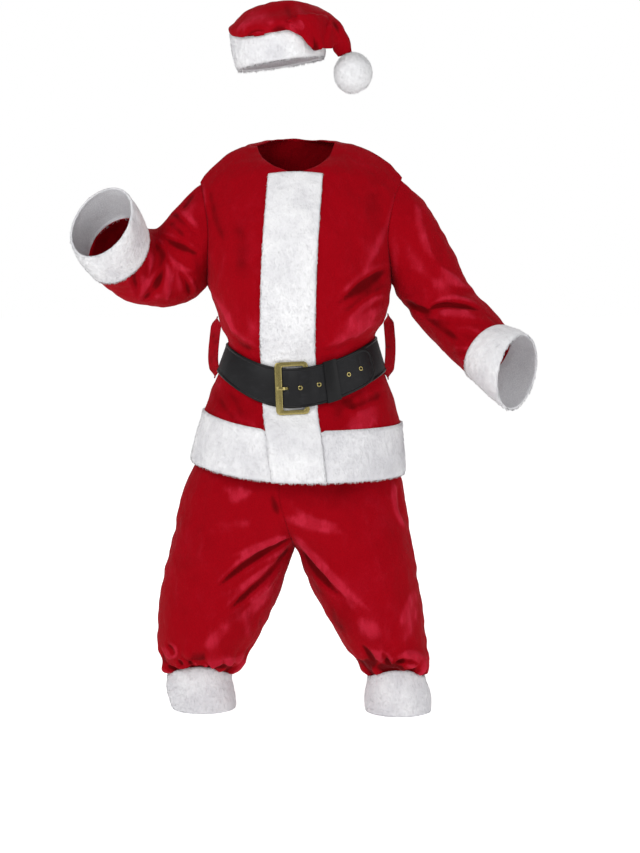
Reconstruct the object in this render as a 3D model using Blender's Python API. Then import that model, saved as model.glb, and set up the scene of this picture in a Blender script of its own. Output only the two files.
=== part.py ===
"""Santa suit, worn: jacket with its belt, knee trousers and hat, with nobody in them.

Metres, +Z up. The front faces -Y and the wearer's left is +X. The origin is the middle of the
wearer's shoulders, at the base of the neck. Every cloth piece is a wall on a grid of points:
the grid is the plush's outer face, its columns run anticlockwise seen from above and its rows
run upwards, or outwards along a sleeve.
"""
import math

import bmesh
import bpy
import numpy as np

MM = 0.001

# ---- Driving dimensions, in millimetres ------------------------------------------------------
PLUSH = 2.5                # wall of the red plush
FUR_OUT = 4.0              # fur trim stands this far outside the plush
FUR_WALL = 2.5             # and this far inside its face
SEAM = 0.3                 # gap between two pieces at a seam
SLEEVE_DRAWN = 0.7         # a sleeve's edges are drawn back more, where it folds against the side
TROUSER_DRAWN = 0.2        # and so are a trouser panel's, at the tight curve of the crotch
SQUARE = 2.3               # exponent of the body's rounded section, 2 is an ellipse

PANEL_COLUMNS = 8          # in each front and in each half of the back
BAND_COLUMNS = 2           # the front band reaches this column on each side
BAND_HALF_WIDTH = 57.0
ARMHOLE_ROWS = 10          # from the armpit to the shoulder's tip

BAND_THICK = 6.0           # fur band down the front
BAND_SQUEEZED = 3.2        # where the belt presses it
BAND_ENDS = 3.5            # at the neck and at the hem
BAND_ROUND = (0.6, 1, 1, 1, 0.6)   # share of its thickness, across
HEM_FUR = (1.5, FUR_OUT, 0.5)      # how far the hem's fur stands out, from its edge upwards
CUFF_FUR = (0.5, 3.5, 4.5, 5.0, 2.5)       # the same for a sleeve cuff, towards the hand
CUFF_WALL = 3.5
KNEE_FUR = (1.5, 4.0, 4.0, 0.0)    # and for a knee cuff, from its edge upwards

BELT_THICK = 3.0
BELT_CLEAR = 1.2           # from the jacket's back to the belt
BELT_EDGE_IN = 0.128       # share of the waist's lines left free at each edge of the belt
AHEAD = 0.02               # quarters round the waist over which its direction is taken
HALVINGS = 30              # steps of the search for the place on the waist at a given x

BUCKLE_HEIGHT = 110.0
BUCKLE_WIDTH = 70.0
BUCKLE_TOE_BAR = 15.0
BUCKLE_BAR = 9.5
BUCKLE_THICK = 4.0
BUCKLE_CENTRE_X = -11.0
BUCKLE_CORNER = 9.0
BUCKLE_INNER_CORNER = 4.0
BUCKLE_CORNER_STEPS = 3
BUCKLE_EDGE = 1.0          # bevel of its front edges
BUCKLE_SIDE = 0.7          # share of the thickness below the bevel
HEEL_BAR = (25.0, 35.0)    # across from the buckle's middle; hidden under the strap
TOE_E = (7.8, 11.8)        # how far each bar's two faces lie off the jacket
HEEL_E = (5.7, 9.7)
PRONG_WIDTH = 6.0
PRONG_THICK = 2.4
# The prong's ring round the heel bar: side of the bar and how far past it, across and then out
PRONG_RING = (
    (0, -2.2, 1, -0.2), (0, -2.2, 0, -1.0), (0, -1.2, 0, -1.6), (1, 1.2, 0, -1.6),
    (1, 1.9, 0, -1.0), (1, 1.9, 1, 0.8), (1, 1.2, 1, 1.5), (0, -1.0, 1, 1.5),
)
PRONG_HOLE = ((0, -0.4, 0, -0.4), (1, 0.4, 0, -0.4), (1, 0.4, 1, 0.4), (0, -0.4, 1, 0.4))
# The prong's middle line, across from the buckle's middle and out from the jacket
PRONG_LINE = ((21, 8.6), (10, 7.0), (0, 5.9), (-6, 5.3), (-9.5, 6.2), (-12.5, 9.0), (-15.4, 12.0),
              (-19.5, 13.4), (-26, 13.6), (-32, 13.5))
EYELET_X = (6, 44, 76, 104, 128)
EYELET_SIDES = 12
TIP_X = 152.0
# The tip's outline: distance back from its end, share of the strap's width
TIP_SHAPE = ((0, 0.5), (4, 0.76), (10, 0.92), (22, 1.0), (400, 1.0))
# x, clearance under the belt, which is more over the front band
BELT_BASE = ((-230, 1.6), (-100, 1.6), (-82, 4.0), (42, 4.0), (57, 1.9), (230, 1.6))
# x, extra thickness of the strap's end, which is an eye round the heel bar
EYE_THICK = ((0, 4.2), (27, 4.2), (38, 0.0), (230, 0.0))
# x of the strap's sections: of its lower end, up to the toe bar, and of its free end on top
STATIONS_UNDER = (11, 19, 27, 32, 38, 50, 57, 70, 83, 98, 114, 130, 146)
STATIONS_TOE = (-130, -116, -100, -82, -62, -44, -30, -24, -19)
STATIONS_OVER = (-16, -8, 0, 9, 18, 27, 32, 38, 50, 57, 70, 83, 95, 108, 120, 130, 138, 144, 149, 152)
BACK_STATIONS = 23
SIDE_STATIONS = 7
# x, lift of the free end as it passes over the heel bar and lies on the strap below
OVERLAP = ((-230, 0.0), (-32, 0.0), (-30, 0.3), (-17, 2.9), (-8, 5.0), (9, 7.5), (27, 7.5),
           (38, 3.4), (230, 3.4))
# What is cut out of the strap for the buckle, from the buckle's middle: name, across, up, out
STRAP_CUTS = (
    ("eye_cutter", (24.7, 35.3), (-70, 70), (5.4, 10.0)),
    ("slot_cutter", (19.0, 37.6), (-4, 4), (2.0, 11.7)),
    ("prong_cutter", (-19.0, -6.5), (-3.6, 3.6), (1.0, 12.5)),
)
KEEPER_X = (57.0, 83.0)
KEEPER_SECTIONS = 4
KEEPER_HALF = 0.382        # half height, as a share of the waist's lines
KEEPER_SIDE = 0.018        # wall at its upper and lower end, in the same share
KEEPER_CLEAR = (0.35, 1.5) # under the strap and over it
KEEPER_WALL = (0.75, 2.0)  # behind and in front
LOOP_THICK = 2.6
LOOP_DEPTH = 34.0
LOOP_Y = -8.0
# Outer face of each belt loop at the side: x, z
LOOP_LEFT = ((194.6, -362), (195.5, -376), (197.5, -394), (200, -420), (200.5, -445), (199, -468),
             (195.8, -487), (195.3, -503))
LOOP_RIGHT = ((-174.0, -368), (-176.5, -384), (-179.5, -408), (-183, -436), (-184, -462),
              (-181.8, -477), (-180, -487), (-180.2, -500))
EYELET_HOLE = 4.4
EYELET_SECTION = ((4.4, SEAM), (10.5, SEAM), (8.9, 1.1), (5.4, 1.2))   # diameter, height over the strap
CUT_PAST = 0.2             # how far a hole's cutter runs past the faces it cuts

# Jacket levels, counted up from the hem
HEM, FUR_TOP, BELT_LOW, BELT_TOP, ARMPIT, NECK_FRONT, SHOULDER = 0, 2, 4, 6, 10, 17, 20
NECK_CENTRE_X = -4.0
NECK_CENTRE_Y = 8.0
NECK_HALF_WIDTH = 83.0
NECK_SIDE_Z = {1: 2.0, -1: -4.0}   # where the neckline meets the left and the right shoulder seam

# Middle line of the front: level, x, y, z
CENTRE_FRONT = (
    (0, 4, -190, -707), (1, -2, -186, -655), (2, -8, -180, -603), (3, -12, -164, -586),
    (4, -15, -149, -567), (5, -17, -144, -512), (6, -19, -142, -457), (7, -20, -153, -434),
    (8, -20, -166, -403), (9, -19, -168, -355), (10, -18, -166, -300), (12, -15, -158, -230),
    (14, -11, -142, -160), (16, -6, -112, -95), (17, -4, -92, -62),
)
# Middle line of the back: level, x, y, z
CENTRE_BACK = (
    (0, 0, 165, -690), (1, 0, 160, -640), (2, 0, 154, -585), (3, 0, 141, -545),
    (4, 0, 128, -477), (5, 0, 121, -428), (6, 0, 117, -379), (7, 0, 128, -360),
    (8, 0, 138, -340), (9, 0, 142, -318), (10, 0, 144, -286), (12, 0, 143, -215),
    (14, -1, 136, -140), (16, -3, 112, -60), (17, -4, 92, -22), (18, -4, 72, 14),
)
# Side seam, then the armhole's two edges: level, x, y of the front edge, y of the back edge, z
SIDE_LEFT = (
    (0, 231, -10, -10, -703), (1, 228, -10, -10, -651), (2, 224, -10, -10, -598),
    (3, 206, -10, -10, -545), (4, 189, -8, -8, -495), (5, 174, -8, -8, -448),
    (6, 161, -8, -8, -401), (7, 184, -6, -6, -386), (8, 191, -4, -4, -366),
    (9, 195, -2, -2, -342), (10, 202, 0, 0, -308), (12, 198, -45, 42, -262),
    (14, 190, -68, 70, -205), (16, 196, -62, 66, -154), (18, 208, -40, 44, -108),
    (20, 224, -4, -4, -71),
)
SIDE_RIGHT = (
    (0, -232, -10, -10, -674), (1, -218, -10, -10, -622), (2, -204, -10, -10, -569),
    (3, -190, -10, -10, -532), (4, -173, -8, -8, -494), (5, -158, -8, -8, -455),
    (6, -145, -8, -8, -417), (7, -163, -6, -6, -398), (8, -170, -4, -4, -374),
    (9, -176, -2, -2, -342), (10, -194, 0, 0, -305), (12, -192, -45, 42, -260),
    (14, -188, -68, 70, -205), (16, -192, -62, 66, -156), (18, -199, -42, 44, -114),
    (20, -209, -4, -4, -81),
)
# Below the chest a level rises towards its side with this power of the way across
SIDE_RISE = 1.9
SIDE_RISE_ENDS = (8, 10)   # levels over which this gives way to the section's own rise
# How far round its quarter each level's section runs: level, degrees
SECTION_ARC = ((0, 90), (10, 90), (12, 74), (14, 62), (16, 52), (18, 44), (20, 34))

# Sleeves: outer edge x, z, inner edge x, z, middle y, half depth
SLEEVE_LEFT = (
    (224, -71, 203, -308, 0, 72), (272, -122, 212, -327, 2, 76), (320, -200, 228, -345, 8, 76),
    (351, -265, 243, -370, 10, 74), (385, -323, 269, -400, 2, 74), (415, -353, 304, -434, -26, 76),
    (445, -389, 366, -494, -72, 76),
)
SLEEVE_RIGHT = (
    (-209, -81, -194, -305, 0, 72), (-245, -115, -208, -320, 2, 76), (-278, -153, -236, -340, 8, 76),
    (-302, -179, -286, -352, 10, 76), (-319, -179, -348, -343, 0, 76), (-325, -175, -400, -314, -22, 76),
    (-327, -168, -435, -280, -52, 78),
)
SLEEVE_ROWS = 12
LOOK_AHEAD = 0.6           # rows of a table over which a tube's direction is taken
CUFF_LEFT = (
    (445, -389, 366, -494, -72, 76), (460, -392, 398, -520, -92, 80), (477, -400, 447, -560, -118, 82),
)
CUFF_RIGHT = (
    (-327, -168, -435, -280, -52, 78), (-340, -138, -450, -256, -78, 82), (-357, -104, -463, -229, -108, 84),
)
CUFF_ROWS = 4

# Trousers, from the knee seam up: z, right leg outer and inner x, left leg outer and inner x,
# right leg front and back y, left leg front and back y, and how far the two legs are parted
TROUSER_ROWS = (
    (-1148, -284, -147, 274, 153, -66, 66, -92, 36, 1.0),
    (-1137, -296, -133, 283, 140, -84, 84, -108, 52, 1.0),
    (-1118, -300, -118, 284, 124, -100, 96, -124, 62, 1.0),
    (-1091, -304, -101, 281, 109, -112, 104, -134, 72, 1.0),
    (-1050, -308, -76, 279, 82, -121, 110, -139, 80, 1.0),
    (-1004, -305, -54, 272, 53, -126, 114, -140, 88, 1.0),
    (-945, -296, -32, 262, 24, -130, 118, -142, 96, 1.0),
    (-902, -287, -17, 256, 9, -134, 122, -144, 106, 1.0),
    (-866, -277, -6, 249, -6, -143, 124, -143, 124, 1.0),
    (-856, -275, -6, 247, -6, -144, 126, -144, 126, 0.95),
    (-836, -270, -6, 243, -6, -146, 129, -146, 129, 0.82),
    (-806, -264, -6, 239, -6, -148, 132, -148, 132, 0.6),
    (-772, -256, -6, 234, -6, -150, 133, -150, 133, 0.38),
    (-735, -246, -6, 228, -6, -150, 132, -150, 132, 0.18),
    (-692, -222, -6, 217, -6, -148, 128, -148, 128, 0.0),
    (-640, -204, -6, 208, -6, -144, 122, -144, 122, 0.0),
    (-580, -186, -6, 196, -6, -137, 115, -137, 115, 0.0),
    (-530, -166, -6, 182, -6, -127, 107, -127, 107, 0.0),
    (-486, -152, -6, 168, -6, -118, 101, -118, 101, 0.0),
)
# The waistband, onto which the belt draws the jacket: z, right x, left x, front y, back y
WAIST_ROWS = (
    (-486, -152, 168, -118, 101), (-466, -152.2, 169.2, -116, 100), (-446, -151.6, 169.8, -113, 98),
)
WAIST_CENTRE_X = 8.0
CROTCH_ROW = 8
SIDE_SEAM_Y = -6.0
KNEE_BACK = {1: -22.0, -1: 6.0}    # how far each knee's side seam has moved back from there
LEG_SQUARE = 2.15
GATHERED_ROWS = 4                  # the knee seam's lift in front fades out over these
# Middle seam of the front: row of the table above, x
FRONT_SEAM_X = ((8, -6), (10, -13), (12, -32), (13, -40), (14, -38), (16, -22), (18, -10))
KNEE_LIFT = 27.0           # the knee seam is this much higher in front
KNEE_LIFT_FADE = 1.5       # exponent of its fade above the seam
TROUSER_COLUMNS = 14       # in each panel
# Rows of the panels' grid, as rows of the table: closer at the gathers
TROUSER_GRID = (0, 0.6, 1.2, 2, 3, 4, 5, 6, 7, 8, 9, 10, 11, 12, 13, 14, 15.3, 16.6, 18)
KNEE_GATHERS = 7           # puckers round each knee seam
GATHER_DEPTH = 7.0
GATHER_ROW = 1.2           # where they are deepest
GATHER_REACH = 2.6
GATHER_AT_SEAM = 0.25      # share of their depth at the seam itself
GATHER_TURN = 0.35         # share of a pucker by which each leg's are turned

# Knee cuffs: z, right leg outer and inner x, left leg outer and inner x, right y, left y, half depth
KNEE_CUFF = (
    (-1148, -288, -147, 278, 152, 0, -28, 66), (-1172, -286, -145, 282, 149, 0, -28, 68),
    (-1196, -281, -140, 286, 147, 0, -29, 69), (-1222, -275, -137, 289, 147, -1, -30, 70),
)

# Hat crown, from the brim to the tip: outer x, z, inner x, z, middle y, half depth, front droop
HAT_CROWN = (
    (-139, 226, 50, 252, -30, 104, 0), (-138, 249, 62, 263, -31, 107, 1), (-116, 271, 71, 266, -33, 105, 7),
    (-76, 288, 77, 257, -35, 98, 22), (-30, 296, 79, 246, -38, 88, 40), (10, 294, 79, 236, -41, 74, 45),
    (46, 283, 79, 226, -44, 59, 37), (78, 264, 80, 217, -47, 45, 23), (100, 238, 83, 208, -50, 33, 11),
    (112, 212, 90, 198, -54, 21, 4), (114.5, 188, 97, 183, -56, 9, 0),
)
DROOP_TURN = 30            # degrees from the front round to the wearer's left
HAT_COLUMNS = 24
CROWN_ROWS = 13
HAT_CENTRE = (-46, -30, 245)
HAT_TILT = 8.8             # degrees, the wearer's left side higher
BRIM_HALF_WIDTH = 97.0
BRIM_HALF_DEPTH = 108.0
BRIM_ROWS = ((80.0, 0.97), (57.6, 1.0), (24.0, 1.01), (3.0, 1.0))  # below its top, share of its width
BRIM_FUR = (1.0, 3.5, 3.5, 0.5)    # how far the fur stands out, from the brim's lower edge upwards
BRIM_WALL = 3.5
POMPOM_CENTRE = (117, -56, 145.4)
POMPOM_RADIUS = 41.0
POMPOM_SEGMENTS, POMPOM_RINGS = 14, 9
POMPOM_LUMP = 0.03         # share of the radius
POMPOM_WAVES = (5, 4, 3)   # across, back and up

# Largest folds of jacket and trousers: start x, y, z, end x, y, z, half width, depth.
# Each is a trough with a low ridge along both sides, and it fades out at its ends.
FOLD_RIDGE = 0.4           # share of the depth
FOLD_RIDGE_AWAY = 1.9      # half widths out from the trough's middle
FOLD_FADE = 4.0
FOLD_END = 0.35            # share of the depth left at its ends
FOLDS = (
    (186, -90, -285, 95, -160, -325, 20, 7),
    (-186, -95, -250, -150, -130, -330, 18, 5),
    (412, -60, -372, 300, -70, -352, 15, 7),
    (-275, -70, -205, -240, -75, -265, 14, 6),
    (-330, -60, -240, -312, -70, -325, 13, 6),
    (-6, -140, -862, -175, -130, -948, 20, 9),
    (-30, -140, -890, -112, -125, -985, 16, 8),
    (-112, -125, -985, -150, -120, -1015, 16, 6),
    (20, -142, -884, 115, -140, -985, 18, 10),
    (215, -120, -735, 222, -100, -815, 18, 6),
    (-285, -40, -1108, -262, -70, -1118, 14, 7),
    (185, -120, -1118, 200, -110, -1140, 14, 8),
    (0, 140, -870, -120, 125, -960, 20, 8),
    (0, 140, -870, 110, 120, -965, 20, 8),
)

SHARP_ANGLE = 50.0         # degrees between two faces, from which their edge is sharp
COLOURS = {
    # name: colour, roughness, metallic
    "plush_red": ((0.40, 0.0, 0.012), 0.85, 0.0),
    "fur_white": ((0.83, 0.83, 0.85), 0.9, 0.0),
    "belt_black": ((0.02, 0.02, 0.022), 0.45, 0.0),
    "gold": ((0.55, 0.42, 0.14), 0.3, 1.0),
}


# ---- Numbers ----------------------------------------------------------------------------------
def smooth(keys, values, at):
    """Monotone cubic through (keys, values), so that it never overshoots a table."""
    keys = np.asarray(keys, float)
    values = np.asarray(values, float)
    step = np.diff(keys)
    slope = np.diff(values) / step
    bend = np.zeros(len(keys))
    bend[0], bend[-1] = slope[0], slope[-1]
    for i in range(1, len(slope)):
        if slope[i - 1] * slope[i] > 0:
            before = 2 * step[i] + step[i - 1]
            after = step[i] + 2 * step[i - 1]
            bend[i] = (before + after) / (before / slope[i - 1] + after / slope[i])
    at = min(max(at, keys[0]), keys[-1])
    i = min(int(np.searchsorted(keys, at, side="right")) - 1, len(step) - 1)
    t = (at - keys[i]) / step[i]
    return (values[i] * (1 + 2 * t) * (1 - t) ** 2 + step[i] * bend[i] * t * (1 - t) ** 2
            + values[i + 1] * t * t * (3 - 2 * t) - step[i] * bend[i + 1] * t * t * (1 - t))


def read(table, at, first=0):
    """All the columns of a table at one key. The key is its first column, or the row's number."""
    keys = [row[0] for row in table] if first else range(len(table))
    return np.array([smooth(keys, [row[c] for row in table], at) for c in range(first, len(table[0]))])


def power(value, exponent):
    return math.copysign(abs(value) ** exponent, value)


# ---- Jacket body ------------------------------------------------------------------------------
def section(middle, side, arc, share, rise=0.0):
    """A point on a rounded quarter from the middle line to the side. Rise 1 spreads its rise evenly."""
    turn = math.radians(arc)
    angle = turn * share
    exponent = 2 / SQUARE
    across = math.sin(angle) ** exponent / math.sin(turn) ** exponent
    back = (1 - max(math.cos(angle), 0) ** exponent) / (1 - max(math.cos(turn), 0) ** exponent)
    height = (1 - math.cos(angle)) / (1 - math.cos(turn))
    height += (across ** SIDE_RISE - height) * rise
    return np.array([middle[0] + (side[0] - middle[0]) * across,
                     middle[1] + (side[1] - middle[1]) * back,
                     middle[2] + (side[2] - middle[2]) * height])


def neck_point(level, sign, face):
    """A point of the neckline, past the level where the middle line ends."""
    table = CENTRE_FRONT if face < 0 else CENTRE_BACK
    start, end = table[-1][0], SHOULDER
    turn = math.radians(90 * (level - start) / (end - start))
    top = NECK_SIDE_Z[sign]
    low = table[-1]
    return np.array([NECK_CENTRE_X + sign * NECK_HALF_WIDTH * math.sin(turn),
                     NECK_CENTRE_Y + (low[2] - NECK_CENTRE_Y) * math.cos(turn),
                     top + (low[3] - top) * math.cos(turn)])


def jacket_point(level, sign, face, share):
    """The jacket's outer face: sign +1 is the wearer's left, face -1 the front."""
    table = CENTRE_FRONT if face < 0 else CENTRE_BACK
    middle = read(table, level, 1) if level <= table[-1][0] else neck_point(level, sign, face)
    edge = read(SIDE_LEFT if sign > 0 else SIDE_RIGHT, level, 1)
    side = (edge[0], edge[1] if face < 0 else edge[2], edge[3])
    start, end = SIDE_RISE_ENDS
    rise = min(max((end - level) / (end - start), 0.0), 1.0)
    return section(middle, side, read(SECTION_ARC, level, 1)[0], share, rise)


def front_shares(level, sign):
    """Shares of a front's columns: the band's are even in width, the others share the rest."""
    even = max(0.0, (level - NECK_FRONT) / (SHOULDER - NECK_FRONT))
    level = min(level, NECK_FRONT)
    half = abs(jacket_point(level, sign, -1, 1.0)[0] - jacket_point(level, sign, -1, 0.0)[0])
    turn = math.radians(read(SECTION_ARC, level, 1)[0])
    edge = math.asin((BAND_HALF_WIDTH / half) ** (SQUARE / 2) * math.sin(turn)) / turn
    middle = math.asin((0.5 * BAND_HALF_WIDTH / half) ** (SQUARE / 2) * math.sin(turn)) / turn
    rest = PANEL_COLUMNS - BAND_COLUMNS
    shares = [0.0, middle] + [edge + (1 - edge) * k / rest for k in range(rest + 1)]
    return [share + (k / PANEL_COLUMNS - share) * even for k, share in enumerate(shares)]


def jacket_grid(levels, sign, face):
    even = [k / PANEL_COLUMNS for k in range(PANEL_COLUMNS + 1)]
    shares = [front_shares(level, sign) if face < 0 else even for level in levels]
    grid = np.array([[jacket_point(level, sign, face, share) for share in row]
                     for level, row in zip(levels, shares)])
    return grid if sign * face < 0 else grid[:, ::-1]


def jacket_ring_point(level, turn):
    """The jacket's face at a turn from 0 to 4: front middle, left side, back, right side."""
    turn = turn % 4
    quarter = min(int(turn), 3)
    share = turn - quarter
    sign = 1 if quarter < 2 else -1
    face = -1 if quarter in (0, 3) else 1
    return jacket_point(level, sign, face, share if quarter in (0, 2) else 1 - share)


# ---- Rings: sleeves, cuffs, hat ---------------------------------------------------------------
def ring(row, tangent, count, droop=0.0):
    """A ring of a sleeve or hat: the row is outer x, z, inner x, z, middle y and half depth.

    With no tangent the ring's depth runs straight back, as the hat's does."""
    outer = np.array([row[0], row[4], row[1]])
    inner = np.array([row[2], row[4], row[3]])
    middle = (outer + inner) / 2
    up = (outer - inner) / 2
    depth = np.array([0.0, -1.0, 0.0]) if tangent is None else np.cross(tangent, up)
    depth *= row[5] / np.linalg.norm(depth)
    points = []
    for k in range(count):
        angle = 2 * math.pi * k / count
        point = middle - up * math.cos(angle) - depth * math.sin(angle)
        point[2] -= droop * max(0.0, -math.sin(angle - math.radians(DROOP_TURN))) ** 2
        points.append(point)
    return points


def ring_middle(row):
    return np.array([(row[0] + row[2]) / 2, row[4], (row[1] + row[3]) / 2])


def tube_rows(table, rows, count):
    """Rings read from a table, each square to the line through the rings' middles."""
    last = len(table) - 1
    grid = []
    for k in range(rows + 1):
        at = last * k / rows
        before = ring_middle(read(table, max(at - LOOK_AHEAD, 0)))
        after = ring_middle(read(table, min(at + LOOK_AHEAD, last)))
        row = read(table, at)
        if len(row) > 6:
            grid.append(ring(row, None, count, row[6]))
        else:
            grid.append(ring(row, after - before, count))
    return np.array(grid)


def armhole_ring(sign):
    """The armhole from the armpit up one edge to the shoulder and down the other."""
    first, second = (1, -1) if sign > 0 else (-1, 1)
    levels = [ARMPIT + k for k in range(ARMHOLE_ROWS + 1)]
    up = [jacket_point(v, sign, first, 1.0) for v in levels]
    down = [jacket_point(v, sign, second, 1.0) for v in levels[-2:0:-1]]
    return up + down


def sleeve_grid(sign):
    table = SLEEVE_LEFT if sign > 0 else SLEEVE_RIGHT
    count = 2 * ARMHOLE_ROWS
    grid = tube_rows(table, SLEEVE_ROWS, count)
    grid[0] = armhole_ring(sign)
    grid[1] = (grid[0] + grid[2]) / 2
    return grid


def cuff_grid(sign, sleeve):
    table = CUFF_LEFT if sign > 0 else CUFF_RIGHT
    grid = tube_rows(table, CUFF_ROWS, 2 * ARMHOLE_ROWS)
    grid[0] = sleeve[-1]
    return grid


# ---- Trousers ---------------------------------------------------------------------------------
def leg_point(row, sign, face, share):
    """The trousers' outer face: share 0 is the middle seam or inseam, 1 the side seam."""
    z, r_out, r_in, l_out, l_in, r_front, r_back, l_front, l_back, parted = read(TROUSER_ROWS, row)
    outer, inner = (l_out, l_in) if sign > 0 else (r_out, r_in)
    front, back = (l_front, l_back) if sign > 0 else (r_front, r_back)
    knee = max(0.0, 1 - row / CROTCH_ROW)
    side_y = SIDE_SEAM_Y + knee * KNEE_BACK[sign]
    if row > CROTCH_ROW and face < 0:
        inner = read(FRONT_SEAM_X, row, 1)[0]
    middle_x = inner + parted * (outer - inner) / 2
    half = outer - middle_x
    end = math.acos(max(-1.0, (inner - middle_x) / half))
    angle = end * (1 - share)
    reach = (front if face < 0 else back) - side_y
    exponent = 2 / LEG_SQUARE
    x = middle_x + half * power(math.cos(angle), exponent)
    if share == 0.0:
        x = inner
    y = side_y + reach * abs(math.sin(angle)) ** exponent
    if parted == 1.0 and share == 0.0:
        y = side_y
    if face < 0:
        z += KNEE_LIFT * max(0.0, 1 - row / GATHERED_ROWS) ** KNEE_LIFT_FADE * math.sin(angle) ** 2
    point = np.array([x, y, z])
    around = angle / (2 * math.pi) if face < 0 else 1 - angle / (2 * math.pi)
    return point + gather(row, around, point, np.array([(outer + inner) / 2, side_y, z]), sign)


def gather(row, around, point, middle, sign):
    """Puckers above the knee seam: ridges and troughs that fade upwards."""
    fade = max(0.0, 1 - abs(row - GATHER_ROW) / GATHER_REACH) * min(1.0, GATHER_AT_SEAM + row)
    wave = math.cos(2 * math.pi * (KNEE_GATHERS * around + GATHER_TURN * sign))
    out = point - middle
    out[2] = 0
    length = np.linalg.norm(out)
    return out / length * GATHER_DEPTH * fade * wave


def trouser_grid(sign, face):
    shares = [k / TROUSER_COLUMNS for k in range(TROUSER_COLUMNS + 1)]
    grid = np.array([[leg_point(row, sign, face, s) for s in shares] for row in TROUSER_GRID])
    return grid if sign * face < 0 else grid[:, ::-1]


def waistband_grid():
    """The waistband carries on from the four panels' top points."""
    top = [leg_point(len(TROUSER_ROWS) - 1, sign, face, k / TROUSER_COLUMNS)
           for sign, face, order in ((1, -1, 1), (1, 1, -1), (-1, 1, 1), (-1, -1, -1))
           for k in range(TROUSER_COLUMNS + 1)[::order]]
    seam = [point for point, last in zip(top, top[-1:] + top[:-1]) if key(point) != key(last)]
    x, y = np.array(seam)[:, 0] - WAIST_CENTRE_X, np.array(seam)[:, 1]
    _, low_right, low_left, low_front, low_back = WAIST_ROWS[0]
    grid = []
    for z, right, left, front, back in WAIST_ROWS:
        wider = np.where(x > 0, (left - WAIST_CENTRE_X) / (low_left - WAIST_CENTRE_X),
                         (right - WAIST_CENTRE_X) / (low_right - WAIST_CENTRE_X))
        deeper = np.where(y < 0, front / low_front, back / low_back)
        grid.append(np.stack([WAIST_CENTRE_X + x * wider, y * deeper, np.full(len(x), z)], axis=1))
    return np.array(grid)


def knee_cuff_grid(sign, seam):
    """Rings from the cuff's lower edge up to the panels' own lowest points."""
    count = len(seam)
    grid = []
    for z, r_out, r_in, l_out, l_in, r_y, l_y, depth in reversed(KNEE_CUFF[1:]):
        outer, inner, y = (l_out, l_in, l_y) if sign > 0 else (r_out, r_in, r_y)
        middle, half = (outer + inner) / 2, abs(outer - inner) / 2
        lift = KNEE_LIFT * (z - KNEE_CUFF[-1][0]) / (KNEE_CUFF[0][0] - KNEE_CUFF[-1][0])
        turns = [math.pi * (2 * k / count - 0.5) for k in range(count)]
        grid.append([[middle + half * math.sin(turn), y - depth * math.cos(turn),
                      z + lift * max(0.0, math.cos(turn)) ** 2] for turn in turns])
    return np.array(grid + [seam])


# ---- Hat --------------------------------------------------------------------------------------
def tilted(point, centre):
    turn = math.radians(HAT_TILT)
    x, y, z = np.array(point) - centre
    along, up = math.cos(turn), math.sin(turn)
    return centre + np.array([x * along - z * up, y, x * up + z * along])


def brim_grid():
    centre = np.array(HAT_CENTRE, float)
    rows = []
    turns = [2 * math.pi * k / HAT_COLUMNS for k in range(HAT_COLUMNS)]
    for drop, swell in BRIM_ROWS:
        rows.append([tilted(centre + (BRIM_HALF_WIDTH * swell * math.sin(turn),
                                      -BRIM_HALF_DEPTH * swell * math.cos(turn), -drop), centre)
                     for turn in turns])
    return np.array(rows)


def crown_grid(brim):
    """The crown's rings start at the wearer's left, and its first ring is the brim's top."""
    grid = tube_rows(HAT_CROWN, CROWN_ROWS, HAT_COLUMNS)
    grid[0] = np.roll(brim[-1], -HAT_COLUMNS // 4, axis=0)
    return grid


# ---- Solids -----------------------------------------------------------------------------------
def add_folds(flats, rings):
    """Press each fold of the table into the grids, towards the inside of the cloth."""
    for grid, normal in zip(flats + rings, shared_normals(flats, rings)):
        flat, out = grid.reshape(-1, 3), normal.reshape(-1, 3)
        shift = np.zeros(len(flat))
        for x0, y0, z0, x1, y1, z1, width, depth in FOLDS:
            start, run = np.array([x0, y0, z0], float), np.array([x1 - x0, y1 - y0, z1 - z0], float)
            share = np.clip((flat - start) @ run / (run @ run), 0, 1)
            away = np.linalg.norm(flat - start - share[:, None] * run, axis=1)
            fade = np.minimum(1, FOLD_FADE * (1 - np.abs(2 * share - 1)) + FOLD_END)
            trough = np.exp(-(away / width) ** 2)
            ridge = np.exp(-((away / width - FOLD_RIDGE_AWAY) ** 2))
            shift += depth * fade * (trough - FOLD_RIDGE * ridge)
        flat -= out * shift[:, None]


def shared_normals(flats, rings):
    """Outward normals at every point of flat grids and of closed rings, shared at the seams."""
    sums = {}
    grids = flats + rings
    for number, grid in enumerate(grids):
        open_columns = 1 if number < len(flats) else 0
        for i in range(grid.shape[0] - 1):
            for j in range(grid.shape[1] - open_columns):
                k = (j + 1) % grid.shape[1]
                corners = (grid[i, j], grid[i, k], grid[i + 1, k], grid[i + 1, j])
                face = np.cross(corners[2] - corners[0], corners[3] - corners[1])
                for corner in corners:
                    name = key(corner)
                    sums[name] = sums.get(name, 0) + face
    return [np.array([[sums[key(p)] / np.linalg.norm(sums[key(p)]) for p in row] for row in grid])
            for grid in grids]


def key(point):
    return tuple(np.round(point, 2))


def pulled(grid, edges, gap):
    """The grid with its seam edges drawn back along the cloth."""
    grid = grid.copy()
    for edge in edges:
        row = {"low": 0, "high": -1}.get(edge)
        if row is not None:
            away = grid[1 if row == 0 else -2] - grid[row]
            grid[row] += gap * away / np.linalg.norm(away, axis=1)[:, None]
        else:
            column = {"first": 0, "last": -1}[edge]
            away = grid[:, 1 if column == 0 else -2] - grid[:, column]
            grid[:, column] += gap * away / np.linalg.norm(away, axis=1)[:, None]
    return grid


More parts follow.
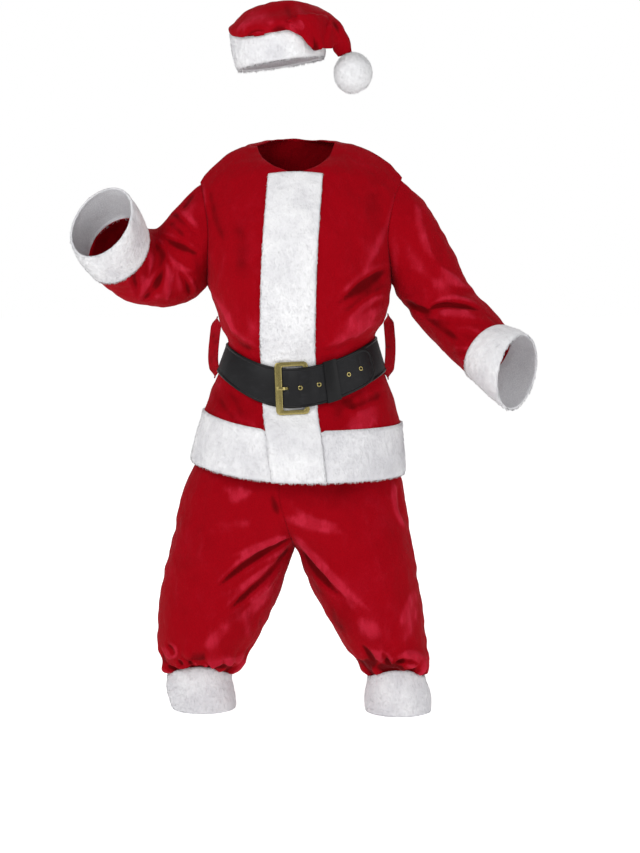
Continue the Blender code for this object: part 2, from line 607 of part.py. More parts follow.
def wall(name, grids, normals, material, edges, out=0.0, inside=PLUSH, closed=False, drawn=SEAM / 2):
    """A closed wall on one or more grids, its seam edges drawn back.

    How far its faces lie out and inside may be one number, or one for each row or point."""
    outer, inner, faces, seen = [], [], [], {}
    for grid, normal, sides in zip(grids, normals, edges):
        rows, columns = grid.shape[:2]
        grid = pulled(grid, sides, drawn)
        outs, ins = by_row(out, rows, columns), by_row(inside, rows, columns)
        ids = np.empty((rows, columns), int)
        for i in range(rows):
            for j in range(columns):
                spot = key(grid[i, j])
                if spot not in seen:
                    seen[spot] = len(outer)
                    outer.append(grid[i, j] + normal[i, j] * outs[i, j])
                    inner.append(grid[i, j] - normal[i, j] * ins[i, j])
                ids[i, j] = seen[spot]
        for i in range(rows - 1):
            for j in range(columns if closed else columns - 1):
                k = (j + 1) % columns
                faces.append((ids[i, j], ids[i, k], ids[i + 1, k], ids[i + 1, j]))
    return solid(name, outer, inner, faces, material)


def by_row(value, rows, columns):
    """One number, a number for each row, or a whole grid, as a grid."""
    value = np.asarray(value, float)
    return np.broadcast_to(value[:, None] if value.ndim == 1 else value, (rows, columns))


def solid(name, outer, inner, faces, material):
    """Join two skins along every edge that only one face uses."""
    count = len(outer)
    faces = [half for face in faces for half in halves(face, outer)]
    used = {}
    for face in faces:
        for a, b in zip(face, face[1:] + face[:1]):
            used[(a, b)] = True
    rims = [(b, a, a + count, b + count) for a, b in used if (b, a) not in used]
    skins = [tuple(f) for f in faces] + [tuple(v + count for v in reversed(f)) for f in faces]
    return piece(name, outer + inner, skins + rims, material)


def halves(face, points):
    """A quad split along its shorter diagonal, so that both skins fold the same way."""
    if len(set(face)) < 4:
        return [tuple(dict.fromkeys(face))]
    a, b, c, d = face
    if np.linalg.norm(points[a] - points[c]) <= np.linalg.norm(points[b] - points[d]):
        return [(a, b, c), (a, c, d)]
    return [(a, b, d), (b, c, d)]


def piece(name, points, faces, material):
    mesh = bpy.data.meshes.new(name)
    mesh.from_pydata([tuple(float(c) * MM for c in p) for p in points], [], faces)
    mesh.update()
    work = bmesh.new()
    work.from_mesh(mesh)
    bmesh.ops.recalc_face_normals(work, faces=work.faces)
    work.to_mesh(mesh)
    work.free()
    mesh.shade_smooth()
    mesh.set_sharp_from_angle(angle=math.radians(SHARP_ANGLE))
    mesh.materials.append(bpy.data.materials[material])
    thing = bpy.data.objects.new(name, mesh)
    bpy.context.collection.objects.link(thing)
    return thing


def make_materials():
    for name, (colour, roughness, metallic) in COLOURS.items():
        material = bpy.data.materials.new(name)
        material.use_nodes = True
        shader = material.node_tree.nodes["Principled BSDF"]
        shader.inputs["Base Color"].default_value = (*colour, 1)
        shader.inputs["Roughness"].default_value = roughness
        shader.inputs["Metallic"].default_value = metallic
        material.diffuse_color = (*colour, 1)


# ---- Pieces -----------------------------------------------------------------------------------
def jacket():
    """Jacket panels, hem bands, sleeves and sleeve cuffs."""
    red_levels = list(range(FUR_TOP, SHOULDER + 1))
    hem_levels = [HEM, 1, FUR_TOP]
    front_left = jacket_grid(red_levels, 1, -1)
    front_right = jacket_grid(red_levels, -1, -1)
    back_left = jacket_grid(red_levels, 1, 1)
    back_right = jacket_grid(red_levels, -1, 1)
    hem_left = jacket_grid(hem_levels, 1, -1)
    hem_right = jacket_grid(hem_levels, -1, -1)
    hem_back_left = jacket_grid(hem_levels, 1, 1)
    hem_back_right = jacket_grid(hem_levels, -1, 1)
    sleeve_left, sleeve_right = sleeve_grid(1), sleeve_grid(-1)
    cuff_left, cuff_right = cuff_grid(1, sleeve_left), cuff_grid(-1, sleeve_right)
    flats = [front_left, front_right, back_left, back_right,
             hem_left, hem_right, hem_back_left, hem_back_right]
    rings = [sleeve_left, sleeve_right, cuff_left, cuff_right]
    add_folds(flats, rings)
    n = shared_normals(flats, rings)
    wall("jacket_front_left", [front_left], [n[0]], "plush_red", [("low", "high", "first", "last")])
    wall("jacket_front_right", [front_right], [n[1]], "plush_red", [("low", "high", "first", "last")])
    wall("jacket_back", [back_left, back_right], [n[2], n[3]], "plush_red",
         [("low", "high", "first"), ("low", "high", "last")])
    for side, grid, normal in (("left", hem_left, n[4]), ("right", hem_right, n[5])):
        wall(f"hem_band_front_{side}", [grid], [normal], "fur_white", [("high", "first", "last")],
             HEM_FUR, FUR_WALL)
    wall("hem_band_back", [hem_back_left, hem_back_right], [n[6], n[7]], "fur_white",
         [("high", "first"), ("high", "last")], HEM_FUR, FUR_WALL)
    front_band([hem_right, front_right], [hem_left, front_left], [n[5], n[1]], [n[4], n[0]])
    for side, grid, normal in (("left", sleeve_left, n[8]), ("right", sleeve_right, n[9])):
        wall(f"sleeve_{side}", [grid], [normal], "plush_red", [("low", "high")], closed=True,
             drawn=SLEEVE_DRAWN)
    for side, grid, normal in (("left", cuff_left, n[10]), ("right", cuff_right, n[11])):
        wall(f"sleeve_cuff_{side}", [grid], [normal], "fur_white", [("low",)], CUFF_FUR, CUFF_WALL,
             closed=True)


def front_band(right, left, right_normals, left_normals):
    """The fur band over both fronts, made from their own points, moved out."""
    def strip(rights, lefts):
        rows = [np.concatenate([r[:, -1 - BAND_COLUMNS:], l[:, 1:BAND_COLUMNS + 1]], axis=1)
                for r, l in zip(rights, lefts)]
        return np.concatenate([rows[0], rows[1][1:]])[:NECK_FRONT + 1]

    grid, normal = strip(right, left), strip(right_normals, left_normals)
    low = np.full(len(grid), SEAM)
    low[:len(HEM_FUR)] += HEM_FUR
    thick = np.full(len(grid), BAND_THICK)
    thick[[BELT_LOW - 1, BELT_TOP + 1]] = (BAND_THICK + BAND_SQUEEZED) / 2
    thick[BELT_LOW:BELT_TOP + 1] = BAND_SQUEEZED
    thick[[0, -1]] = BAND_ENDS
    wall("front_band", [grid], [normal], "fur_white", [()],
         low[:, None] + thick[:, None] * np.array(BAND_ROUND), -low)


# ---- Belt -------------------------------------------------------------------------------------
def turn_at(x, quarter=0):
    """The turn at which the waist's front reaches x: quarter 0 is its left half and 3 its right."""
    low, high = quarter, quarter + 1.0
    for _ in range(HALVINGS):
        middle = (low + high) / 2
        if jacket_ring_point((BELT_LOW + BELT_TOP) / 2, middle)[0] < x:
            low = middle
        else:
            high = middle
    return low


def waist(turn, height, off):
    """A point off the waist: height 0 is the belt's lower line and 1 its upper."""
    span = BELT_TOP - BELT_LOW
    low, high = jacket_ring_point(BELT_LOW, turn), jacket_ring_point(BELT_TOP, turn)
    ahead, behind = (jacket_ring_point(BELT_LOW + span / 2, turn + step) for step in (AHEAD, -AHEAD))
    normal = np.cross(ahead - behind, high - low)
    return low + (high - low) * height + normal / np.linalg.norm(normal) * off


def strap_offset(turn):
    """Where the strap's two faces lie off the jacket at a turn from the buckle round to its tip."""
    x, y, _ = waist(turn, 0.5, 0)
    base = read(BELT_BASE, x, 1)[0] if y < 0 else BELT_CLEAR
    extra = read(EYE_THICK, x, 1)[0] if turn < 1 else 0.0
    lift = read(OVERLAP, x, 1)[0] if turn > 3.5 else 0.0
    return base + lift, base + lift + BELT_THICK + extra


def belt_strap():
    """One long band: from its eye at the heel bar round the body and back over the buckle."""
    turns = ([turn_at(x) for x in STATIONS_UNDER]
             + list(np.linspace(turn_at(STATIONS_UNDER[-1]), 1, SIDE_STATIONS)[1:-1])
             + list(np.linspace(1, 3, BACK_STATIONS))
             + list(np.linspace(3, turn_at(STATIONS_TOE[0], 3), SIDE_STATIONS)[1:-1])
             + [turn_at(x, 3) for x in STATIONS_TOE] + [4 + turn_at(x) for x in STATIONS_OVER])
    tip_x = waist(4 + turn_at(TIP_X), 0.5, 0)[0]
    outer, inner = [], []
    for turn in turns:
        low, high = strap_offset(turn)
        share = read(TIP_SHAPE, tip_x - waist(turn, 0.5, 0)[0], 1)[0] if turn > 4 else 1.0
        half = share * (0.5 - BELT_EDGE_IN)
        for height in (0.5 - half, 0.5 + half):
            outer.append(waist(turn, height, high))
            inner.append(waist(turn, height, low))
    faces = [(2 * k, 2 * k + 2, 2 * k + 3, 2 * k + 1) for k in range(len(turns) - 1)]
    strap = solid("belt_strap", outer, inner, faces, "belt_black")
    place = buckle_place()
    for name, across, up, out in STRAP_CUTS:
        cut(strap, box(name, place, across, up, out))
    for number, x in enumerate(EYELET_X):
        cut(strap, round_cutter(f"eyelet_cutter_{number}", x))


def lap_circle(x, above, radius):
    """A circle over the middle of the strap's outer lap at x."""
    turn = 4 + turn_at(x)
    middle = waist(turn, 0.5, strap_offset(turn)[1] + above)
    out = waist(turn, 0.5, 1) - waist(turn, 0.5, 0)
    across = np.cross((0, 0, 1), out)
    across /= np.linalg.norm(across)
    up = np.cross(out, across)
    turns = [2 * math.pi * k / EYELET_SIDES for k in range(EYELET_SIDES)]
    return [middle + radius * (across * math.cos(a) + up * math.sin(a)) for a in turns]


def round_cutter(name, x):
    low = lap_circle(x, -BELT_THICK - CUT_PAST, EYELET_HOLE / 2)
    return prism(name, low, lap_circle(x, CUT_PAST, EYELET_HOLE / 2))


def prism(name, low, high, material="gold"):
    """A solid between two outlines with as many points."""
    count = len(low)
    faces = [tuple(range(count)), tuple(range(2 * count - 1, count - 1, -1))]
    faces += [(k, (k + 1) % count, count + (k + 1) % count, count + k) for k in range(count)]
    return piece(name, list(low) + list(high), faces, material)


def cut(thing, cutter):
    cutter.hide_render = True
    cutter.display_type = "WIRE"
    change = thing.modifiers.new(cutter.name, "BOOLEAN")
    change.object = cutter
    change.operation = "DIFFERENCE"
    change.solver = "EXACT"


def eyelet(number, x):
    """A flat metal ring on the strap, round its hole."""
    rings = [lap_circle(x, above, width / 2) for width, above in EYELET_SECTION]
    piece(f"belt_eyelet_{number}", sum(rings, []), loop_faces(len(rings), EYELET_SIDES), "gold")


def loop_faces(rings, count):
    """Faces from each ring of points to the next, and from the last back to the first."""
    faces = []
    for ring_number in range(rings):
        low, high = ring_number * count, (ring_number + 1) % rings * count
        faces += [(low + k, low + (k + 1) % count, high + (k + 1) % count, high + k) for k in range(count)]
    return faces


def buckle_place():
    """The buckle's own frame: its middle on the jacket, across, up and out."""
    turn = 4 + turn_at(BUCKLE_CENTRE_X)
    middle, out = waist(turn, 0.5, 0), waist(turn, 0.5, 1) - waist(turn, 0.5, 0)
    up = waist(turn, 1, 0) - waist(turn, 0, 0)
    up /= np.linalg.norm(up)
    return middle, np.cross(up, out), up, out


def local(place, across, up, out):
    """A point given in the buckle's own frame."""
    return place[0] + place[1] * across + place[2] * up + place[3] * out


def box(name, place, across, up, out):
    corners = ((across[0], up[0]), (across[1], up[0]), (across[1], up[1]), (across[0], up[1]))
    low, high = ([local(place, a, u, depth) for a, u in corners] for depth in out)
    return prism(name, low, high)


def frame_outline(inset_left, inset_right, inset, radius):
    """A rounded rectangle inside the buckle's outline: across and up."""
    left, right = inset_left - BUCKLE_WIDTH / 2, BUCKLE_WIDTH / 2 - inset_right
    tall = BUCKLE_HEIGHT / 2 - inset
    points = []
    for x, y, start in ((right, -tall, -90), (right, tall, 0), (left, tall, 90), (left, -tall, 180)):
        middle_x, middle_y = x - math.copysign(radius, x), y - math.copysign(radius, y)
        for step in range(BUCKLE_CORNER_STEPS + 1):
            angle = math.radians(start + 90 * step / BUCKLE_CORNER_STEPS)
            points.append((middle_x + radius * math.cos(angle), middle_y + radius * math.sin(angle)))
    return points


def buckle_frame():
    """A rounded rectangle of flat bars, its heel bar a little nearer the body."""
    place = buckle_place()
    edge = BUCKLE_EDGE
    outer = frame_outline(0, 0, 0, BUCKLE_CORNER)
    inner = frame_outline(BUCKLE_TOE_BAR, BUCKLE_BAR, BUCKLE_BAR, BUCKLE_INNER_CORNER)
    outer_top = frame_outline(edge, edge, edge, BUCKLE_CORNER - edge / 2)
    inner_top = frame_outline(BUCKLE_TOE_BAR - edge, BUCKLE_BAR - edge, BUCKLE_BAR - edge,
                              BUCKLE_INNER_CORNER + edge / 2)
    points = []
    for outline, share in ((outer, 0), (outer, BUCKLE_SIDE), (outer_top, 1), (inner_top, 1),
                           (inner, BUCKLE_SIDE), (inner, 0)):
        for across, up in outline:
            along = across / BUCKLE_WIDTH + 0.5
            low = TOE_E[0] + (HEEL_E[0] - TOE_E[0]) * along
            points.append(local(place, across, up, low + BUCKLE_THICK * share))
    piece("buckle_frame", points, loop_faces(6, len(outer)), "gold")


def buckle_prong():
    """The prong: a ring round the heel bar, and a shank that ends on the toe bar."""
    place = buckle_place()
    half = PRONG_WIDTH / 2

    def round_bar(rows):
        return [(HEEL_BAR[side] + past, HEEL_E[face] + off) for side, past, face, off in rows]

    shank_top = [(across, out + PRONG_THICK / 2) for across, out in PRONG_LINE]
    shank_low = [(across, out - PRONG_THICK / 2) for across, out in reversed(PRONG_LINE)]
    outline = round_bar(PRONG_RING) + shank_top + shank_low
    prong = prism("buckle_prong", [local(place, a, -half, e) for a, e in outline],
                  [local(place, a, half, e) for a, e in outline])
    hole, reach = round_bar(PRONG_HOLE), half + CUT_PAST
    cut(prong, prism("prong_ring_cutter", [local(place, a, -reach, e) for a, e in hole],
                     [local(place, a, reach, e) for a, e in hole]))


def belt_keeper():
    """The closed loop that holds the strap's free end down."""
    outer, inner = [], []
    for x in np.linspace(*KEEPER_X, KEEPER_SECTIONS):
        turn = turn_at(x)
        rear = strap_offset(turn)[0] - KEEPER_CLEAR[0]
        front = strap_offset(4 + turn)[1] + KEEPER_CLEAR[1]
        middle = (rear + front) / 2
        # side of the belt's middle, how far off the jacket, wall there
        section = ((1, rear, -KEEPER_WALL[0]), (0, rear, -KEEPER_WALL[0]), (-1, rear, -KEEPER_WALL[0]),
                   (-1, middle, 0), (-1, front, KEEPER_WALL[1]), (0, front, KEEPER_WALL[1]),
                   (1, front, KEEPER_WALL[1]), (1, middle, 0))
        for side, off, thick in section:
            inner.append(waist(turn, 0.5 + side * KEEPER_HALF, off))
            outer.append(waist(turn, 0.5 + side * (KEEPER_HALF + KEEPER_SIDE), off + thick))
    count = len(section)
    faces = loop_faces(KEEPER_SECTIONS, count)[:(KEEPER_SECTIONS - 1) * count]
    solid("belt_keeper", outer, inner, faces, "belt_black")


def belt_loop(name, path, sign):
    """A strip of plush at the side seam that stands off and holds the belt."""
    outer, inner = [], []
    points = np.array(path, float)
    for k, (x, z) in enumerate(points):
        along = points[min(k + 1, len(points) - 1)] - points[max(k - 1, 0)]
        along /= np.linalg.norm(along)
        out = sign * np.array([-along[1], along[0]])
        for y in (-LOOP_DEPTH / 2, LOOP_DEPTH / 2):
            outer.append(np.array([x, LOOP_Y + y, z]))
            inner.append(np.array([x - out[0] * LOOP_THICK, LOOP_Y + y, z - out[1] * LOOP_THICK]))
    faces = [(2 * k, 2 * k + 1, 2 * k + 3, 2 * k + 2) for k in range(len(points) - 1)]
    solid(name, outer, inner, faces, "plush_red")


def belt():
    belt_strap()
    for number, x in enumerate(EYELET_X, 1):
        eyelet(number, x)
    buckle_frame()
    buckle_prong()
    belt_keeper()
    belt_loop("belt_loop_left", LOOP_LEFT, 1)
    belt_loop("belt_loop_right", LOOP_RIGHT, -1)


def trousers():
    """Four panels, the waistband and the two knee cuffs."""
    panels = {(s, f): trouser_grid(s, f) for s in (1, -1) for f in (-1, 1)}
    waistband = waistband_grid()
    add_folds(list(panels.values()), [])
    cuffs = []
    for sign in (1, -1):
        seam = np.concatenate([panels[sign, -1][0], panels[sign, 1][0][1:-1]])
        cuffs.append(knee_cuff_grid(sign, seam))
    n = shared_normals(list(panels.values()), [waistband, *cuffs])
    names = {(1, -1): "trouser_front_left", (1, 1): "trouser_back_left",
             (-1, -1): "trouser_front_right", (-1, 1): "trouser_back_right"}
    for (place, grid), normal in zip(panels.items(), n):
        wall(names[place], [grid], [normal], "plush_red", [("low", "high", "first", "last")],
             drawn=TROUSER_DRAWN)
    wall("trouser_waistband", [waistband], [n[4]], "plush_red", [("low",)], closed=True)
    for grid, normal, name in zip(cuffs, n[5:], ("knee_cuff_left", "knee_cuff_right")):
        wall(name, [grid], [normal], "fur_white", [("high",)], KNEE_FUR, FUR_WALL, closed=True,
             drawn=TROUSER_DRAWN)


def pompom():
    """A ball of fur, a little lumpy so that it reads as soft."""
    work = bmesh.new()
    bmesh.ops.create_uvsphere(work, u_segments=POMPOM_SEGMENTS, v_segments=POMPOM_RINGS,
                              radius=POMPOM_RADIUS)
    for vert in work.verts:
        x, y, z = (wave * c for wave, c in zip(POMPOM_WAVES, vert.co / POMPOM_RADIUS))
        vert.co *= 1 + POMPOM_LUMP * math.sin(x + z) * math.sin(y + 1)
    points = [np.array(v.co) + POMPOM_CENTRE for v in work.verts]
    faces = [[v.index for v in f.verts] for f in work.faces]
    work.free()
    piece("hat_pompom", points, faces, "fur_white")


def hat():
    brim = brim_grid()
    crown = crown_grid(brim)
    n = shared_normals([], [brim, crown])
    wall("hat_brim", [brim], [n[0]], "fur_white", [("high",)], BRIM_FUR, BRIM_WALL, closed=True)
    wall("hat_crown", [crown], [n[1]], "plush_red", [("low",)], closed=True)
    pompom()


def main():
    for thing in list(bpy.data.objects):
        bpy.data.objects.remove(thing)
    make_materials()
    jacket()
    belt()
    trousers()
    hat()


main()
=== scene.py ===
"""Santa suit: red plush, white fur, a black belt and its gold buckle, dressed over the packed frame."""

import math

import bmesh
import bpy
import numpy as np
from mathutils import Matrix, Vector, noise
from mathutils.bvhtree import BVHTree
from mathutils.kdtree import KDTree


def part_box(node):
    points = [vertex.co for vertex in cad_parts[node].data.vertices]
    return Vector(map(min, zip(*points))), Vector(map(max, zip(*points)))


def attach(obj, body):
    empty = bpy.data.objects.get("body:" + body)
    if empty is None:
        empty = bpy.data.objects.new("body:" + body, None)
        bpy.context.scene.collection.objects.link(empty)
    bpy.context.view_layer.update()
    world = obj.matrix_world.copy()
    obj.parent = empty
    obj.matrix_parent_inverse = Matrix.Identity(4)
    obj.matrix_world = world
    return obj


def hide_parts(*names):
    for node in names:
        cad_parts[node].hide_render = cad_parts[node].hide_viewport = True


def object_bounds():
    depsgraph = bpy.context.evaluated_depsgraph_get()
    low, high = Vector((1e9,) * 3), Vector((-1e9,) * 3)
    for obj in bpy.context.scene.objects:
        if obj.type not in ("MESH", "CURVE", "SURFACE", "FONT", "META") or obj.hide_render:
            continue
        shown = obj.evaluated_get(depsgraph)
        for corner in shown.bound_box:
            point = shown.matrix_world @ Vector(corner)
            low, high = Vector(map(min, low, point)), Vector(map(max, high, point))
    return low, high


bl_info = {
    "name": "Santa suit",
    "version": (1, 0, 0),
    "blender": (4, 5, 0),
    "location": "3D View > Sidebar > Suit",
    "description": "Dresses a santa suit in plush, fur, vinyl and brass",
    "category": "Object",
}

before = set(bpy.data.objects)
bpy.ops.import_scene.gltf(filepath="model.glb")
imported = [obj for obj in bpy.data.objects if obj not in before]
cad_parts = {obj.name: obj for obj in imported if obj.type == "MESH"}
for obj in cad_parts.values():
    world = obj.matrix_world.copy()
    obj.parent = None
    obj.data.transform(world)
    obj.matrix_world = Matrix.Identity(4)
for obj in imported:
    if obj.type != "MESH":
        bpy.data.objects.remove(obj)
CAD_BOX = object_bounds()
MM = 0.001
SHARP = math.radians(50)      # faces that meet at more than this are different skins
MERGED = 1e-5                 # points nearer than this are one

# Plush pieces: whose creases each has, and what lies over or against it.
BELT = ("belt_strap", "belt_keeper", "buckle_frame", "belt_loop_left", "belt_loop_right")
HEM = ("hem_band_front_left", "hem_band_front_right", "hem_band_back")
JACKET = ("jacket_front_left", "jacket_front_right", "jacket_back")
TROUSERS = ("trouser_front_left", "trouser_front_right", "trouser_back_left", "trouser_back_right")
KNEES = ("knee_cuff_left", "knee_cuff_right")
CLOTH = {node: ("jacket", ("front_band",) + BELT + HEM) for node in JACKET[:2]}
CLOTH[JACKET[2]] = ("jacket", BELT + HEM)
CLOTH |= {node: (node, (node.replace("_", "_cuff_"),)) for node in ("sleeve_left", "sleeve_right")}
CLOTH |= {node: ("trousers", JACKET + HEM + KNEES) for node in TROUSERS}
CLOTH["hat_crown"] = ("hat", ("hat_brim", "hat_pompom"))
# Fur trims: the painted light, above 0, or painted shade, below 0, on the pile of each, and what presses it
# down.
FUR = {
    "front_band": (0.45, BELT + ("buckle_prong",)),
    "hem_band_front_left": (-0.25, ("front_band",)),
    "hem_band_front_right": (0.15, ("front_band",)),
    "hem_band_back": (0.0, ()),
    "sleeve_cuff_left": (0.4, ()),
    "sleeve_cuff_right": (0.3, ()),
    "knee_cuff_left": (-0.3, ()),
    "knee_cuff_right": (-0.4, ()),
    "hat_brim": (0.3, ()),
}
# Pieces that go part of the way round, whose outside is told from the axis through their middle.
PANELS = ("jacket", "trouser_f", "trouser_b", "hem", "front_band")

# Noise in layers: the size of a lump in m, seed, squeeze up and down, share.
SWELL = ((0.042, 1, 0.6, 1), (0.017, 2, 0.8, 0.45))
CLUMPS = ((0.050, 3, 0.7, 1), (0.014, 4, 1, 0.45))
BALL_CLUMPS = ((0.022, 3, 1, 1), (0.009, 4, 1, 0.3))
LOOP_SWELL = ((0.012, 5, 1, 1),)
SEED_SHIFT = 17.3             # how far apart two seeds look into the noise

# Cloth. Fades are the distances between which something grows from none to all, in m.
STEPS = 3                     # of smoothing for every cloth piece, so that points meet at a seam
LINE_POINTS = 33              # along each line drawn on the cloth
LINE_REACH = 3.5              # how far off a line still counts, in half widths
LINE_FACING = (2, 0.3)        # how fast a line comes in as the cloth turns to its side, and from where
LINE_TAPER = (0.4, 0.6, 0.7)  # width at a line's ends, how much more in its middle, and how full
LINE_ENDS = 0.02              # least strength at its ends, squared
RIDGES = (0.55, 0.25, 1.9, 0.85)     # beside a fold: height above and below, how far off, how broad
INSIDE_FACES = 0.6            # kept of a wall's faces, all of them taken from its inside
FULL_SHADE_LIFT = 4 * MM             # a lift at which the painted highlight on a ridge, or the painted shade in a fold, is full
SWELL_LIFT = 2.2              # of the slow swells
SWELL_SHADE = 0.3               # how much painted light and shade follow them, lighter where they rise
COVER_LOOK = 0.04             # how far off a piece that lies over the cloth is looked for, in m
RAISED_FADE = (0.001, 0.022)  # of raised cloth, away from what lies over it
SUNK_FADE = (0.0005, 0.008)   # of sunk cloth
SEAM_SHADE = (0.3, 0.004)     # how dark the painted shade at a seam is, and how far in
GATHER = (-1.120, -1.045, 0.21, -0.21)     # the legs' folds: where all and none, and each leg's middle, in m
GATHER_FOLDS = (4.5, 0.30, 9)              # their sharpness, size and seed
GATHER_RISE = (0.6, 0.1)      # how slowly they change along a leg of this radius
GATHER_FADE = (0.0005, 0.006)
GATHER_SINK = 0.3             # how far they pull the leg in
# how much painted shade the gathers' hollows get, and painted light their crests
GATHER_SHADE = 0.8

# Seams
SEAM_REACH = 4 * MM           # edges nearer than this are sewn together
TURN_FADE = 0.012             # how far in from an edge a piece faces as its neighbours do
PULL_FADE = 0.014             # how far in it is pulled to meet them
TRIM_RISE = 1.6 * MM          # a trim's edge over the plush

# Fur
FLAT_EDGE = (0.3, 0.7, 0.009)      # clumps at an edge, how much more inside, and how far in
ROLL_FADE = 0.007
PRESS_FADE = (0.0006, 0.010)  # away from what lies on a trim
PRESSED = 0.8 * MM            # how far a trim sinks under it
EDGE_FADE = 0.006             # how far in the pile is an edge's
# painted shade at a trim's edge: how dark, and how far in
EDGE_SHADE = (0.35, 0.0035)
TUFT_LEAN = (0.55, 1.4)       # how far a tuft stands up, and how far it lies along the nap
TUFT_LENGTH = (0.7, 0.6)      # the shortest against the pile's length, and how much more by chance
TUFT_EDGE = (0.75, 0.75)      # inside a trim, and how much more at its edge
TUFT_TOP = 0.65               # how much shorter on a face that looks up
TUFT_STRAY = 0.18
TUFT_WIDTH = 0.17             # radius at the root, against its length
TUFT_ROOT = 0.7 * MM          # below the trim's face
TUFT_TIP = (0.8, 0.2)         # how much painted light its tip gets against the painted shade at its root, and how much more by chance
TUFT_SHADE = (0.95, 0.05)     # lit as the trim, and as itself
CONE_FACES = ((0, 2, 1), (0, 1, 3), (1, 2, 3), (2, 0, 3))
STEEP = 0.7                   # a cone whose aim is more than this along X is turned from Y
LOCK = (9, 0.3)               # tufts in a lock, and how far they draw together
ROOM = (0.05, 0.75, 0.3)      # how far a piece over a trim is looked for, what tufts fill, and the least left
DOWN = (0.0, 0.0, -1.0)       # the way the nap lies
BALL_LUMPS = 0.6              # the pompom's clumps, against the trims'
BALL_LIGHT = (0.8, 0.3)         # how much painted light its pile gets, and how much its clumps change that
BALL_BORDER = 0.6             # how far its tufts are as at a trim's edge
BALL_TUFTS = {"length": 1.0, "spacing": 0.62, "lean": 0.8}
BALL_SEED = 40

# The side each crease is seen from: the axis across, the way that side faces, and the share of depth.
VIEWS = {"front": (0, (0, -1, 0), 1.0), "back": (0, (0, 1, 0), 0.7), "left": (1, (1, 0, 0), 0.3),
         "right": (1, (-1, 0, 0), 0.3)}
